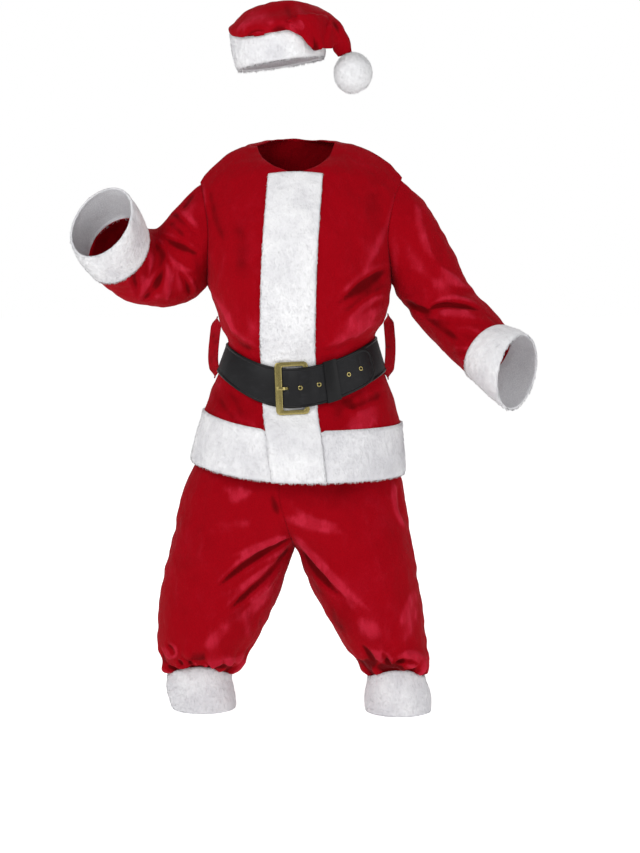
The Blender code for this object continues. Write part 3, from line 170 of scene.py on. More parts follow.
# For each side: three points that a crease runs through, each across and up, then half its width
# and its depth. A negative depth is a ridge. All in mm.
CREASES = {
    "jacket": {
        "front": (
            (203, -262, 150, -290, 84, -336, 10, 5), (196, -330, 160, -342, 120, -372, 8, 4),
            (192, -372, 160, -398, 118, -420, 8, 3), (215, -85, 185, -175, 135, -280, 9, -3),
            (180, -335, 115, -390, 70, -435, 24, -4), (-185, -305, -160, -345, -125, -405, 6, -3),
            (-190, -320, -170, -360, -140, -410, 9, 4), (-190, -80, -176, -150, -150, -215, 11, 2),
            (-200, -80, -195, -115, -185, -160, 7, -3), (190, -520, 150, -545, 110, -552, 10, 3),
            (-185, -500, -160, -545, -120, -590, 8, 2), (-150, -390, -120, -420, -80, -435, 8, 3),
            (50, -435, 100, -420, 155, -385, 8, 3),
        ),
        "back": (
            (-150, -110, -110, -190, -60, -240, 12, 3), (150, -115, 115, -190, 65, -235, 12, 3),
            (175, -250, 120, -290, 50, -310, 11, 5), (-165, -250, -115, -285, -50, -300, 11, 5),
            (-120, -352, 0, -372, 120, -350, 14, -3), (-118, -370, -114, -390, -108, -412, 7, 3),
            (-66, -362, -62, -386, -60, -412, 8, 4), (4, -372, 2, -394, 6, -414, 7, 3),
            (64, -358, 70, -384, 72, -412, 8, 4), (120, -372, 122, -392, 120, -412, 7, 3),
            (-110, -494, -116, -520, -122, -556, 8, 4), (-30, -494, -28, -524, -34, -560, 8, 3),
            (44, -494, 52, -524, 54, -558, 8, 4), (118, -494, 126, -522, 134, -552, 8, 3),
        ),
        "left": (
            (-70, -290, 0, -322, 70, -300, 11, 5), (-60, -350, 10, -376, 60, -360, 9, 3),
            (-20, -500, -14, -530, -20, -556, 8, 3),
        ),
        "right": (
            (-70, -280, 0, -312, 70, -296, 11, 5), (-50, -350, 0, -372, 60, -356, 9, 3),
            (16, -500, 20, -530, 12, -560, 8, 3),
        ),
    },
    "sleeve_left": {
        "front": (
            (250, -120, 265, -200, 300, -255, 11, -4), (300, -255, 335, -290, 380, -310, 9, -4),
            (280, -350, 325, -340, 385, -350, 7, 6), (275, -370, 335, -360, 400, -375, 9, -3),
            (225, -330, 245, -345, 280, -355, 7, 4), (400, -360, 425, -380, 440, -390, 6, 4),
            (320, -450, 345, -440, 375, -450, 6, 3), (335, -395, 365, -405, 405, -420, 8, 3),
        ),
        "back": (
            (238, -150, 280, -220, 330, -280, 11, -3), (285, -325, 330, -345, 378, -352, 8, 5),
            (250, -255, 290, -285, 345, -310, 9, 4), (350, -395, 390, -425, 430, -440, 8, 3),
        ),
        "left": (
            (-40, -180, 0, -215, 40, -205, 10, 3), (-60, -300, -10, -325, 40, -310, 9, 4),
        ),
        "right": (
            (-50, -330, 0, -356, 40, -350, 9, 4),
        ),
    },
    "sleeve_right": {
        "front": (
            (-292, -196, -255, -215, -207, -234, 8, 4), (-275, -225, -255, -255, -215, -270, 7, -4),
            (-280, -262, -300, -300, -332, -335, 9, 5), (-280, -245, -275, -290, -280, -335, 10, -4),
            (-335, -205, -342, -255, -340, -320, 9, 4), (-288, -138, -245, -162, -209, -196, 8, 3),
            (-222, -95, -240, -130, -278, -156, 9, 3), (-250, -270, -235, -300, -230, -325, 7, 4),
            (-320, -205, -310, -240, -315, -280, 6, -4),
        ),
        "back": (
            (-235, -130, -265, -185, -300, -220, 11, -3), (-250, -235, -290, -255, -330, -250, 9, 4),
            (-255, -290, -295, -300, -335, -285, 8, 5), (-350, -255, -375, -230, -400, -200, 8, 3),
        ),
        "right": (
            (-50, -170, 0, -200, 40, -190, 10, 3), (-70, -270, -20, -290, 30, -275, 9, 4),
        ),
        "left": (
            (-40, -250, 0, -275, 40, -265, 9, 4),
        ),
    },
    "trousers": {
        "front": (
            (-10, -835, -85, -870, -170, -935, 8, 7), (-25, -825, -75, -845, -140, -865, 10, -4),
            (-15, -855, -60, -910, -155, -990, 9, 6), (-20, -875, -70, -940, -105, -970, 9, -5),
            (-296, -1090, -230, -1122, -120, -1098, 9, -5), (-282, -1124, -236, -1135, -199, -1122, 7, 8),
            (-199, -1124, -168, -1118, -134, -1114, 7, 7), (-282, -1066, -270, -1078, -272, -1092, 6, 6),
            (-262, -1102, -252, -1112, -250, -1126, 5, 5), (-232, -1104, -228, -1114, -222, -1130, 5, 6),
            (-196, -1106, -190, -1114, -190, -1128, 5, 6), (-160, -1098, -158, -1108, -152, -1122, 5, 5),
            (-180, -795, -135, -800, -90, -790, 12, -2), (-160, -720, -125, -730, -85, -725, 12, -2),
            (5, -860, 40, -905, 100, -960, 9, 8), (-5, -820, 50, -890, 160, -990, 11, -5),
            (-10, -755, 35, -795, 85, -795, 12, -3), (200, -715, 210, -770, 235, -825, 8, -4),
            (215, -725, 220, -775, 240, -815, 6, 5), (255, -940, 240, -975, 215, -1020, 10, -4),
            (180, -1075, 185, -1090, 195, -1110, 6, 6), (200, -1090, 235, -1080, 265, -1095, 7, -5),
            (210, -1100, 230, -1095, 255, -1105, 5, 6), (135, -1060, 150, -1080, 160, -1100, 6, 4),
            (155, -1070, 170, -1080, 175, -1105, 6, -4), (-110, -990, -110, -1025, -100, -1060, 9, -2),
        ),
        "back": (
            (-175, -740, -110, -800, -25, -835, 13, 5), (190, -740, 115, -800, 25, -835, 13, 5),
            (-190, -830, -130, -870, -50, -870, 11, 4), (205, -830, 140, -870, 45, -870, 11, 4),
            (-235, -925, -185, -958, -110, -945, 11, 5), (240, -920, 175, -958, 95, -945, 11, 5),
            (-262, -1025, -205, -1048, -130, -1022, 9, 6), (265, -1020, 195, -1046, 120, -1020, 9, 6),
            (-265, -1072, -205, -1092, -145, -1072, 8, 5), (268, -1068, 200, -1090, 140, -1068, 8, 5),
        ),
        "left": (
            (-70, -790, 0, -830, 60, -815, 11, 4), (-70, -900, -10, -930, 60, -915, 10, 5),
            (-75, -1015, -20, -1045, 45, -1030, 10, 5), (-40, -660, 0, -720, 10, -790, 12, -3),
            (-50, -990, 0, -1010, 45, -1000, 9, 4),
        ),
        "right": (
            (-70, -790, 0, -830, 60, -815, 11, 4), (-70, -905, 0, -935, 60, -915, 10, 5),
            (-60, -1015, 0, -1045, 60, -1025, 10, 5), (-40, -660, 0, -720, 10, -790, 12, -3),
            (-50, -870, 0, -890, 45, -880, 9, 4),
        ),
    },
    "hat": {
        "front": (
            (-44, 247, -28, 238, -15, 236, 6, 6), (36, 259, 34, 236, 31, 218, 8, 5),
            (64, 263, 81, 246, 85, 215, 7, 2), (-24, 305, -19, 284, -24, 267, 10, 2),
            (43, 265, 74, 242, 99, 191, 3, -2), (-93, 234, -76, 242, -54, 244, 5, -3),
            (-97, 244, -80, 253, -56, 255, 6, 3), (-23, 273, -10, 257, 6, 244, 8, -3),
        ),
        "back": (
            (-104, 226, -66, 246, -16, 240, 8, 4), (-40, 262, 0, 246, 34, 228, 9, 4),
            (44, 262, 74, 240, 98, 194, 4, 3),
        ),
        "left": (
            (-90, 214, -40, 236, 20, 232, 8, 4),
        ),
        "right": (
            (-90, 196, -36, 214, 30, 204, 8, 4),
        ),
    },
}

# Painted highlight, above 0, where the pile looks brushed up, and painted shade, below 0. The same points and
# width, then how much.
PAINTED_LIGHT = {
    "jacket": {
        "front": (
            (196, -170, 157, -232, 114, -271, 14, 0.35), (196, -298, 157, -310, 95, -357, 13, -0.9),
            (196, -322, 149, -345, 107, -384, 15, 0.8), (188, -365, 157, -392, 95, -411, 13, 0.6),
            (142, -380, 95, -411, 48, -411, 22, -0.35), (126, -61, 157, -100, 126, -201, 40, -0.35),
            (-162, -115, -123, -240, -108, -294, 30, -0.4), (-174, -318, -147, -365, -108, -427, 12, 0.45),
            (-108, -349, -94, -396, -90, -450, 12, 0.35), (-186, -100, -193, -201, -189, -287, 8, -0.5),
            (95, -559, 126, -567, 165, -544, 13, 0.6), (72, -606, 110, -590, 157, -598, 12, 0.5),
            (52, -530, 80, -560, 84, -600, 24, -0.4), (165, -590, 188, -567, 196, -536, 10, -0.5),
            (95, -544, 142, -528, 188, -516, 12, -0.7), (-189, -559, -178, -520, -158, -497, 14, 0.7),
            (-150, -520, -128, -548, -120, -590, 12, -0.4), (110, -575, 140, -588, 186, -566, 16, 0.8),
            (84, -536, 110, -548, 126, -572, 11, -0.5), (-170, -300, -150, -240, -120, -190, 26, 0.25),
            (-108, -575, -92, -590, -76, -598, 10, 0.4),
        ),
        "back": (
            (-150, -120, -110, -200, -50, -260, 20, 0.5), (150, -125, 110, -205, 60, -260, 20, 0.5),
            (-40, -60, 0, -150, 10, -280, 36, -0.3), (170, -290, 110, -320, 40, -330, 14, 0.7),
            (-165, -285, -110, -320, -45, -325, 14, 0.6), (-120, -530, -20, -520, 90, -535, 20, 0.4),
        ),
    },
    "sleeve_left": {
        "front": (
            (216, -178, 251, -252, 305, -302, 16, 0.6), (282, -310, 321, -294, 360, -287, 18, 0.6),
            (239, -84, 297, -154, 360, -263, 14, 0.4), (251, -146, 282, -209, 336, -271, 22, -0.35),
            (220, -310, 274, -357, 329, -380, 14, -0.7), (274, -368, 329, -404, 383, -419, 10, -0.8),
            (321, -388, 368, -411, 399, -411, 12, 0.6), (321, -442, 352, -466, 383, -481, 10, 0.5),
            (204, -154, 206, -224, 213, -294, 9, 0.5),
        ),
    },
    "sleeve_right": {
        "front": (
            (-295, -100, -256, -108, -217, -92, 12, -0.6), (-271, -131, -236, -154, -217, -201, 10, 0.5),
            (-295, -154, -256, -178, -232, -217, 10, -0.8), (-326, -201, -287, -232, -295, -271, 12, -0.8),
            (-263, -256, -248, -287, -263, -318, 14, 0.6), (-334, -271, -318, -302, -295, -326, 14, 0.6),
            (-224, -224, -213, -263, -217, -302, 10, -0.6), (-334, -178, -302, -201, -271, -209, 9, 0.5),
        ),
    },
    "trousers": {
        "front": (
            (-36, -787, 29, -798, 93, -817, 16, 0.9), (-92, -726, -123, -741, -149, -741, 14, 0.5),
            (-195, -813, -168, -815, -138, -813, 9, 0.35), (-21, -813, 59, -912, 135, -999, 9, 0.7),
            (127, -999, 150, -1021, 176, -1040, 20, 0.9), (6, -885, 51, -976, 127, -1090, 15, -0.8),
            (245, -938, 250, -984, 222, -1052, 22, 0.8), (214, -1059, 180, -1082, 165, -1090, 12, 0.6),
            (203, -726, 214, -756, 222, -809, 12, 0.7), (-9, -862, -70, -889, -164, -949, 7, -0.9),
            (-24, -878, -92, -912, -176, -961, 14, 0.55), (-13, -878, -47, -915, -123, -991, 7, -1.0),
            (-39, -938, -77, -972, -138, -1014, 16, 0.85), (-138, -999, -172, -1044, -206, -1074, 16, 0.6),
            (-21, -896, -51, -961, -100, -1059, 10, -0.5), (-297, -1082, -274, -1090, -244, -1109, 10, 0.6),
            (-244, -1109, -183, -1109, -108, -1090, 8, 0.7), (-282, -1122, -236, -1131, -199, -1120, 9, -1.0),
            (-199, -1120, -168, -1116, -134, -1113, 9, -1.0), (165, -1120, 184, -1093, 210, -1097, 7, 0.8),
            (180, -1131, 203, -1116, 241, -1127, 7, -1.0), (-55, -734, -46, -760, -38, -783, 9, -0.7),
            (-229, -885, -221, -953, -252, -1044, 40, -0.25), (165, -832, 180, -893, 173, -961, 34, -0.3),
        ),
        "back": (
            (-180, -760, -110, -820, -30, -850, 18, 0.6), (190, -760, 120, -820, 30, -850, 18, 0.6),
            (-220, -950, -170, -985, -100, -965, 16, 0.6), (225, -945, 170, -985, 100, -965, 16, 0.6),
            (-190, -860, -170, -1000, -180, -1090, 24, -0.35), (190, -860, 175, -1000, 185, -1090, 24, -0.35),
        ),
        "left": (
            (-60, -860, 0, -880, 50, -870, 16, 0.5),
        ),
        "right": (
            (-60, -860, 0, -880, 50, -870, 16, 0.5),
        ),
    },
    "hat": {
        "front": (
            (-118, 248, -80, 272, -43, 263, 8, 1.0), (-52, 256, -32, 258, -12, 254, 8, -1.0),
            (-127, 242, -102, 241, -68, 248, 8, -0.5), (-24, 305, -19, 284, -24, 267, 13, -0.35),
            (-5, 301, 2, 281, 5, 260, 10, 0.4), (18, 266, 29, 248, 36, 228, 8, -0.8),
            (50, 288, 81, 263, 100, 222, 5, 0.6), (64, 263, 81, 246, 85, 215, 9, -0.3),
            (-95, 294, -68, 301, -43, 303, 12, 0.35), (81, 215, 89, 204, 93, 194, 5, 0.5),
        ),
    },
}

# Each cloth piece's cut, laid flat: width, length, area in square metres, how it is held and by what.
CUTS = {
    "jacket_front_left": (0.30, 0.66, 0.171, "hung", ("trouser_waistband",)),
    "jacket_front_right": (0.27, 0.64, 0.145, "hung", ("trouser_waistband",)),
    "jacket_back": (0.56, 0.64, 0.313, "hung", ("trouser_waistband",)),
    "sleeve_left": (0.52, 0.42, 0.172, "hung", ("jacket_front_left", "jacket_back")),
    "sleeve_right": (0.50, 0.36, 0.130, "hung", ("jacket_front_right", "jacket_back")),
    "trouser_front_left": (0.36, 0.72, 0.236, "gathered", ("trouser_waistband",)),
    "trouser_front_right": (0.36, 0.72, 0.225, "gathered", ("trouser_waistband",)),
    "trouser_back_left": (0.35, 0.72, 0.220, "gathered", ("trouser_waistband",)),
    "trouser_back_right": (0.35, 0.72, 0.230, "gathered", ("trouser_waistband",)),
    "trouser_waistband": (0.88, 0.04, 0.0352, "gathered", ()),
    "hat_crown": (0.64, 0.30, 0.103, "draped", ("hat_brim",)),
    "belt_loop_left": (0.036, 0.158, 0.0056, "stretched", ("jacket_front_left",)),
    "belt_loop_right": (0.036, 0.149, 0.0053, "stretched", ("jacket_front_right",)),
    "front_band": (0.115, 0.70, 0.0805, "laid", ("jacket_front_left", "jacket_front_right")),
    "hem_band_front_left": (0.33, 0.108, 0.0356, "hung", ("jacket_front_left",)),
    "hem_band_front_right": (0.325, 0.108, 0.0351, "hung", ("jacket_front_right",)),
    "hem_band_back": (0.64, 0.109, 0.0697, "hung", ("jacket_back",)),
    "sleeve_cuff_left": (0.46, 0.092, 0.0423, "hung", ("sleeve_left",)),
    "sleeve_cuff_right": (0.48, 0.096, 0.0460, "hung", ("sleeve_right",)),
    "knee_cuff_left": (0.49, 0.076, 0.0372, "gathered", ("trouser_front_left", "trouser_back_left")),
    "knee_cuff_right": (0.49, 0.077, 0.0377, "gathered", ("trouser_front_right", "trouser_back_right")),
    "hat_brim": (0.65, 0.082, 0.0533, "stretched", ("hat_crown",)),
}

# Hat. How far its crown sags over its brim: across, down, in mm.
SLOUCH = ((-150, 6), (-132, 20), (-105, 32), (-70, 33), (-40, 32), (-20, 29), (0, 42), (14, 52), (26, 50),
          (40, 38), (55, 26), (75, 8), (90, 0))
SAG_FACING = (-0.1, 0.5)      # how the front comes in as the cloth turns forward
SAG_FADE = (0.010, 0.014, 0.052)     # away from the brim: where it sags in full, from where less, where not
SAG_LEAST = 0.5 * MM
SAG_PUSH = (0.010, 0.02)      # how far it bags out, and the sag that does so in full
SAG_CLEAR = ((0.0035, 0, 0.003), (0.0070, 0.006, 0.022))     # over the brim: how far, and its two fades
SAG_LOOK = (0.06, 1.6)        # how far off the search for the brim starts, and how far it looks against that
SAG_DROPS = (0, 0.006, 0.012, 0.018)     # below a point, where else the brim is looked for
SAG_RELIEF = 0.04             # a drop at which the brim would not matter
SAG_ROUNDS = 8                # of smoothing, which keep this share of a point's own shift and take the rest
SAG_KEPT = (0.4, 0.6)
TAIL = (0.098, 0.200, 0.028, 0.018)     # where its end fills out: across, height, reach, how far
TAIL_WAY = (-0.93, 0, -0.36)
POMPOM = (1.08, 0.3, 0.09)    # its long pile against the trims': how much lighter it is painted, how mottled, and its painted glow

# Belt. Its binding's section: across from the edge and out from the strap's face, in mm.
BINDING = ((-0.45, -2.4), (-0.7, -0.8), (-0.5, 0.3), (0.4, 0.9), (1.8, 1.1), (3.6, 1.0), (4.6, 0.6),
           (5.0, -0.1), (2.6, -0.25), (0.3, -0.4))
BINDING_STEP = 4 * MM
STITCH = (6.0, 3.4, 0.4)      # in from the edge, from one stitch to the next, half its width, in mm
STITCH_SHARE = 0.32           # half a stitch's length, against its step
STITCH_OUT = (0.05, 0.35)     # its foot over the strap, and its height, in mm
STITCH_BLOCK = ((-1, -1, 0), (1, -1, 0), (1, 1, 0), (-1, 1, 0),
                (-0.6, -0.5, 1), (0.6, -0.5, 1), (0.6, 0.5, 1), (-0.6, 0.5, 1))
BLOCK_FACES = ((3, 2, 1, 0), (4, 5, 6, 7), (0, 1, 5, 4), (1, 2, 6, 5), (2, 3, 7, 6), (3, 0, 4, 7))
EYELET = (2.7, 4.8)           # inner and outer radius of its ring, in mm
EYELETS = 5
FLAT = math.radians(0.6)      # triangles that meet at less than this are one face
CORNER = math.radians(40)     # edges sharper than this are rounded
FRAME_BEVEL, PRONG_BEVEL = 2.2, 0.6     # against the belt's own rounding
LOOP_TURN = 0.011             # how far a belt loop's edges turn forward and back, in m
LOOP_FADE = (0.7, 1.0)        # from its middle to its ends, where it doesn't
LOOP_LUMPS = 0.25 * MM
LOOP_SHADE = (0.5, 0.3)         # painted light and shade on its swells, and painted shade that darkens the whole loop
LOOP_BEVEL = 0.6 * MM

# Patterns of the finishes: waves a metre, detail, squeeze on each axis, and where each sets in and is full.
PATTERNS = {
    "patches": (9, 4, None, 0.46, 0.72),
    "streaks": (60, 4, (1, 1, 0.45), 0.44, 0.72),
    "shadows": (6, 3, None, 0.48, 0.75),
    "tone": (24, 3, None, 0.3, 0.7),
    "clumps": (110, 3, (1, 1, 0.6), 0.3, 0.7),
    "fine": (300, 3, (1, 1, 0.5), 0.3, 0.7),
    "scuffs": (38, 4, (1, 1, 2.5), 0.50, 0.75),
    "film": (30, 2, None, 0.35, 0.8),
}
QUADS = math.radians(60)      # triangles that meet at less than this are joined in pairs
TINY = 1e-9                   # the least length that a way is told from

# Stage: each lamp's name, the setting for its power, size and place, in m.
LAMPS = (("key", "key", 3.0, (-2.2, -3.4, 2.1)), ("fill", "fill", 3.0, (3.2, -2.6, 0.6)),
         ("back", "fill", 2.5, (0.6, 3.4, 2.2)))
LAMP_AIM = (0, 0, -0.6)
FLOOR_SIZE = 40
CAMERA, CAMERA_AIM = (0.0475, -4.5, -0.179), (0.0475, 0, -0.60588)
LENS, SENSOR = 88.3, 36       # in mm


# ---------------------------------------------------------------------------------------- settings


def colour_setting(name, description, default):
    return bpy.props.FloatVectorProperty(name=name, description=description, subtype="COLOR", size=3,
                                         min=0, max=1, default=default)


def length_setting(name, description, low, high, default):
    return bpy.props.FloatProperty(name=name, description=description, subtype="DISTANCE", unit="LENGTH",
                                   min=low, max=high, default=default)


def power_setting(name, description, default):
    return bpy.props.FloatProperty(name=name, description=description, subtype="POWER", unit="POWER",
                                   min=0, max=2000, default=default)


def share_setting(name, description, high, default):
    return bpy.props.FloatProperty(name=name, description=description, subtype="FACTOR", min=0, max=high,
                                   default=default)


class SuitPlush(bpy.types.PropertyGroup):
    """The red cloth."""

    colour: colour_setting("Colour", "Pile seen from the front", (0.262, 0.0, 0.004))
    # Brushed: the painted highlight on ridges, and the brushed patches
    highlight_and_brushing: colour_setting("Brushed", "Pile brushed the other way, and on ridges", (0.41, 0.012, 0.030))
    # Deep: the painted shade in folds
    fold_shade: colour_setting("Deep", "Pile at the bottom of folds", (0.095, 0.0, 0.001))
    crease: share_setting("Creases", "Depth of the creases, 1 is as worn", 2, 1.0)
    lumps: length_setting("Lumps", "Height of the cloth's slow swells", 0, 0.005, 0.0014)
    gather: length_setting("Gathers", "Height of the folds above the knee cuffs", 0, 0.01, 0.006)
    seam: length_setting("Seams", "How far the cloth sinks at a seam", 0, 0.004, 0.0009)
    wall: length_setting("Cloth", "Thickness of the cloth with its pile", 0.001, 0.003, 0.0025)


class SuitFur(bpy.types.PropertyGroup):
    """The white trims."""

    colour: colour_setting("Tips", "Colour of the pile's tips", (0.755, 0.755, 0.765))
    # Roots: the painted shade deep in the pile
    root: colour_setting("Roots", "Colour deep in the pile", (0.565, 0.56, 0.585))
    pile: length_setting("Pile", "Length of a tuft", 0.002, 0.02, 0.0036)
    spacing: length_setting("Spacing", "Between tufts", 0.0015, 0.01, 0.0022)
    lumps: length_setting("Lumps", "Height of the clumps under the pile", 0, 0.004, 0.0022)
    wall: length_setting("Thickness", "Of a trim with its ground", 0.001, 0.006, 0.004)
    roll: length_setting("Rolled edges", "How far a trim's edges turn in", 0, 0.004, 0.0016)
    overlap: length_setting("Overlap", "How far a trim covers the plush at a seam", 0, 0.006, 0.0034)


class SuitBelt(bpy.types.PropertyGroup):
    """The belt and its buckle."""

    colour: colour_setting("Vinyl", "Colour of the strap", (0.009, 0.009, 0.010))
    edge: colour_setting("Binding", "Colour of the bound edges", (0.004, 0.004, 0.0045))
    brass: colour_setting("Brass", "Colour of the buckle and eyelets", (0.37, 0.305, 0.115))
    bevel: length_setting("Rounding", "Of the metal's and the vinyl's edges", 0.0001, 0.002, 0.0007)


class SuitStage(bpy.types.PropertyGroup):
    """The floor, the lights and the camera."""

    floor: colour_setting("Floor", "Colour of the floor", (0.82, 0.82, 0.82))
    key: power_setting("Key", "Power of the large lamp at the left", 128)
    fill: power_setting("Fill", "Power of the lamps at the right and behind", 48)
    sky: share_setting("Room", "Light from the white room", 3, 0.40)
    wall: share_setting("Walls", "How bright the room's walls look", 3, 1.0)
    glow: share_setting("Floor glow", "Light from the floor itself", 3, 0.68)


GROUPS = {"suit_plush": SuitPlush, "suit_fur": SuitFur, "suit_belt": SuitBelt, "suit_stage": SuitStage}


# --------------------------------------------------------------------------------------- materials


class Value:
    """A socket's output, whose arithmetic adds Math nodes."""

    def __init__(self, shader, socket):
        self.shader, self.socket = shader, socket

    def maths(self, operation, *others):
        sockets = dict(enumerate((self,) + others))
        return self.shader.node("ShaderNodeMath", {"operation": operation}, sockets)

    def __add__(self, other):
        return self.maths("ADD", other)

    def __sub__(self, other):
        return self.maths("SUBTRACT", other)

    def __rsub__(self, other):
        return self.shader.node("ShaderNodeMath", {"operation": "SUBTRACT"}, {0: other, 1: self})

    def __mul__(self, other):
        return self.maths("MULTIPLY", other)

    __radd__ = __add__

    def between(self, low, high):
        """0 at low and 1 at high, smooth between."""
        return self.shader.node("ShaderNodeMapRange", {"interpolation_type": "SMOOTHSTEP"},
                                {"Value": self, "From Min": low, "From Max": high})


class Shader:
    """A material and the nodes that it is made of."""

    def __init__(self, name, **surface):
        self.material = bpy.data.materials.new(name)
        self.material.use_nodes = True
        self.tree = self.material.node_tree
        self.surface = self.tree.nodes["Principled BSDF"]
        for key, value in surface.items():
            self.surface.inputs[key.replace("_", " ")].default_value = value
        self.place = self.node("ShaderNodeTexCoord", {}, {}, "Object")

    def node(self, kind, settings, sockets, output=0):
        made = self.tree.nodes.new(kind)
        for key, value in settings.items():
            setattr(made, key, value)
        for key, value in sockets.items():
            self.feed(made.inputs[key], value)
        return Value(self, made.outputs[output])

    def feed(self, socket, value):
        if isinstance(value, Value):
            self.tree.links.new(value.socket, socket)
        elif hasattr(value, "__len__") and len(value) == 3 and socket.type == "RGBA":
            socket.default_value = (*value, 1)
        else:
            socket.default_value = value

    def wave(self, scale, detail, squeeze=None):
        """Noise of this many waves a metre."""
        place = self.place
        if squeeze:
            place = self.node("ShaderNodeMapping", {}, {"Vector": place, "Scale": squeeze})
        return self.node("ShaderNodeTexNoise", {}, {"Vector": place, "Scale": scale, "Detail": detail})

    def patterns(self, *names):
        """These patterns, each from 0 to 1."""
        for name in names:
            scale, detail, squeeze, low, high = PATTERNS[name]
            yield self.wave(scale, detail, squeeze).between(low, high)

    def mix(self, share, first, second):
        made = self.tree.nodes.new("ShaderNodeMix")
        made.data_type = "RGBA"
        colours = [socket for socket in made.inputs if socket.type == "RGBA"]
        self.feed(made.inputs[0], share)
        self.feed(colours[0], first)
        self.feed(colours[1], second)
        return Value(self, next(socket for socket in made.outputs if socket.type == "RGBA"))

    def bump(self, height, depth):
        return self.node("ShaderNodeBump", {}, {"Height": height, "Distance": depth, "Strength": 1.0})

    def attribute(self, name):
        return self.node("ShaderNodeAttribute", {"attribute_name": name}, {}, "Fac")

    def dress(self, **inputs):
        for key, value in inputs.items():
            self.feed(self.surface.inputs[key.replace("_", " ")], value)
        return self.material


def plush_material(plush):
    """Short pile that lies in brushed patches, with painted highlight on ridges and painted shade in folds.
    """
    cloth = Shader("plush", Sheen_Weight=0.08, Sheen_Roughness=0.35, Sheen_Tint=(1.0, 0.16, 0.22, 1),
                   Specular_IOR_Level=0.05)
    nap = cloth.attribute("nap")
    patches, streaks, shadows = cloth.patterns("patches", "streaks", "shadows")
    grain = cloth.wave(420, 2)
    # Painted highlight on ridges and strokes, with brushed patches, streaks and grain; then painted shade in
    # folds
    highlight_and_patches = nap.between(0.0, 1.0) * (0.6 + streaks * 0.5) + patches * 0.22 + streaks * 0.12
    highlight_and_patches = highlight_and_patches + (grain - 0.5) * 0.5
    shade = (0 - nap).between(0.05, 1.0) * 0.9 + shadows * 0.4
    # The brushed colour gives the painted highlight, the deep one the painted shade
    colour = cloth.mix(highlight_and_patches.between(0.0, 1.1), tuple(plush.colour), tuple(plush.highlight_and_brushing))
    colour = cloth.mix(shade.between(0.0, 1.1), colour, tuple(plush.fold_shade))
    pile = cloth.bump(grain * 0.7 + cloth.wave(900, 1) * 0.5 + streaks * 0.6, depth=0.0011)
    return cloth.dress(Base_Color=colour, Roughness=0.86 + patches * 0.08, Normal=pile)


def fur_material(fur, name, light=1.0, mottle=1.0, glow=0.0):
    """Short white pile with a soft mottle, painted light or shade for each trim and painted shade that greys
    it towards its roots; light lightens it all as painted light, and glow is a painted glow.
    """
    # Emission: a painted glow, given to the pompom
    pile = Shader(name, Sheen_Weight=0.1, Sheen_Roughness=0.5, Specular_IOR_Level=0.1,
                  Emission_Color=(1, 1, 1, 1), Emission_Strength=glow)
    tone, clumps, fine = pile.patterns("tone", "clumps", "fine")
    # Each trim's painted light and shade
    share = 0.43 + pile.attribute("nap") * 0.4
    share = share + (tone * 0.16 + clumps * 0.11 + fine * 0.08 - 0.175) * mottle
    # Tufts lighter towards their tips, against painted shade at their roots
    if name.endswith("pile"):
        share = share + pile.attribute("tip") * 0.1
    colour = pile.mix(share.between(0.0, 1.0), tuple(light * c for c in fur.root),
                      tuple(light * c for c in fur.colour))
    return pile.dress(Base_Color=colour, Roughness=0.85 + tone * 0.1,
                      Normal=pile.bump(fine * 0.4 + clumps * 1.2 + tone, depth=0.0009 * mottle))


def thread_material():
    """Black thread with its twist."""
    thread = Shader("thread", Specular_IOR_Level=0.3)
    strands = thread.wave(1500, 1)
    return thread.dress(Base_Color=thread.mix(strands, (0.012, 0.012, 0.013), (0.03, 0.03, 0.032)),
                        Roughness=0.55 + strands * 0.2)


def backing_material(fur):
    """The knitted ground that the fur's pile stands on."""
    knit = Shader("fur_backing", Specular_IOR_Level=0.2)
    loops = knit.node("ShaderNodeTexVoronoi", {}, {"Vector": knit.place, "Scale": 550.0}, "Distance")
    colour = knit.mix(loops.between(0.1, 0.6), tuple(fur.colour), tuple(fur.root))
    return knit.dress(Base_Color=colour, Roughness=0.9 - loops * 0.05, Normal=knit.bump(loops, depth=0.0006))


def vinyl_material(name, colour, roughness, coat):
    """Imitation leather with a fine grain, soft scuffs and shallow wrinkles."""
    skin = Shader(name, Coat_Weight=coat, Coat_Roughness=0.25, Specular_IOR_Level=0.13)
    cells = skin.node("ShaderNodeTexVoronoi", {"feature": "SMOOTH_F1"},
                      {"Vector": skin.place, "Scale": 620.0, "Smoothness": 0.6}, "Distance")
    scuffs, = skin.patterns("scuffs")
    wrinkles = skin.wave(26, 3, (1, 1, 0.25))
    tinted = skin.mix(scuffs * 0.5, tuple(colour), tuple(2.2 * c for c in colour))
    return skin.dress(Base_Color=tinted, Roughness=roughness + scuffs * 0.14 + cells * 0.08,
                      Normal=skin.bump(cells * 0.16 + wrinkles * 0.8, depth=0.0011))


def brass_material(brass):
    """Polished gold-coloured metal with faint scratches and a duller film."""
    metal = Shader("brass", Metallic=1.0)
    film, = metal.patterns("film")
    scratches = metal.wave(500, 2, (1, 1, 0.06))
    tinted = metal.mix(film * 0.25, tuple(brass), tuple(0.5 * c for c in brass))
    return metal.dress(Base_Color=tinted, Roughness=0.2 + film * 0.1 + scratches * 0.06,
                       Normal=metal.bump(scratches * 0.3, depth=0.0002))


def floor_material(stage):
    """White paint, hardly mottled, which gives off light itself."""
    paint = Shader("floor_paint", Roughness=0.9, Emission_Color=(1, 1, 1, 1), Emission_Strength=stage.glow)
    tone = paint.wave(2.5, 2)
    return paint.dress(Base_Color=paint.mix(tone * 0.15, tuple(stage.floor),
                                            tuple(0.93 * c for c in stage.floor)))


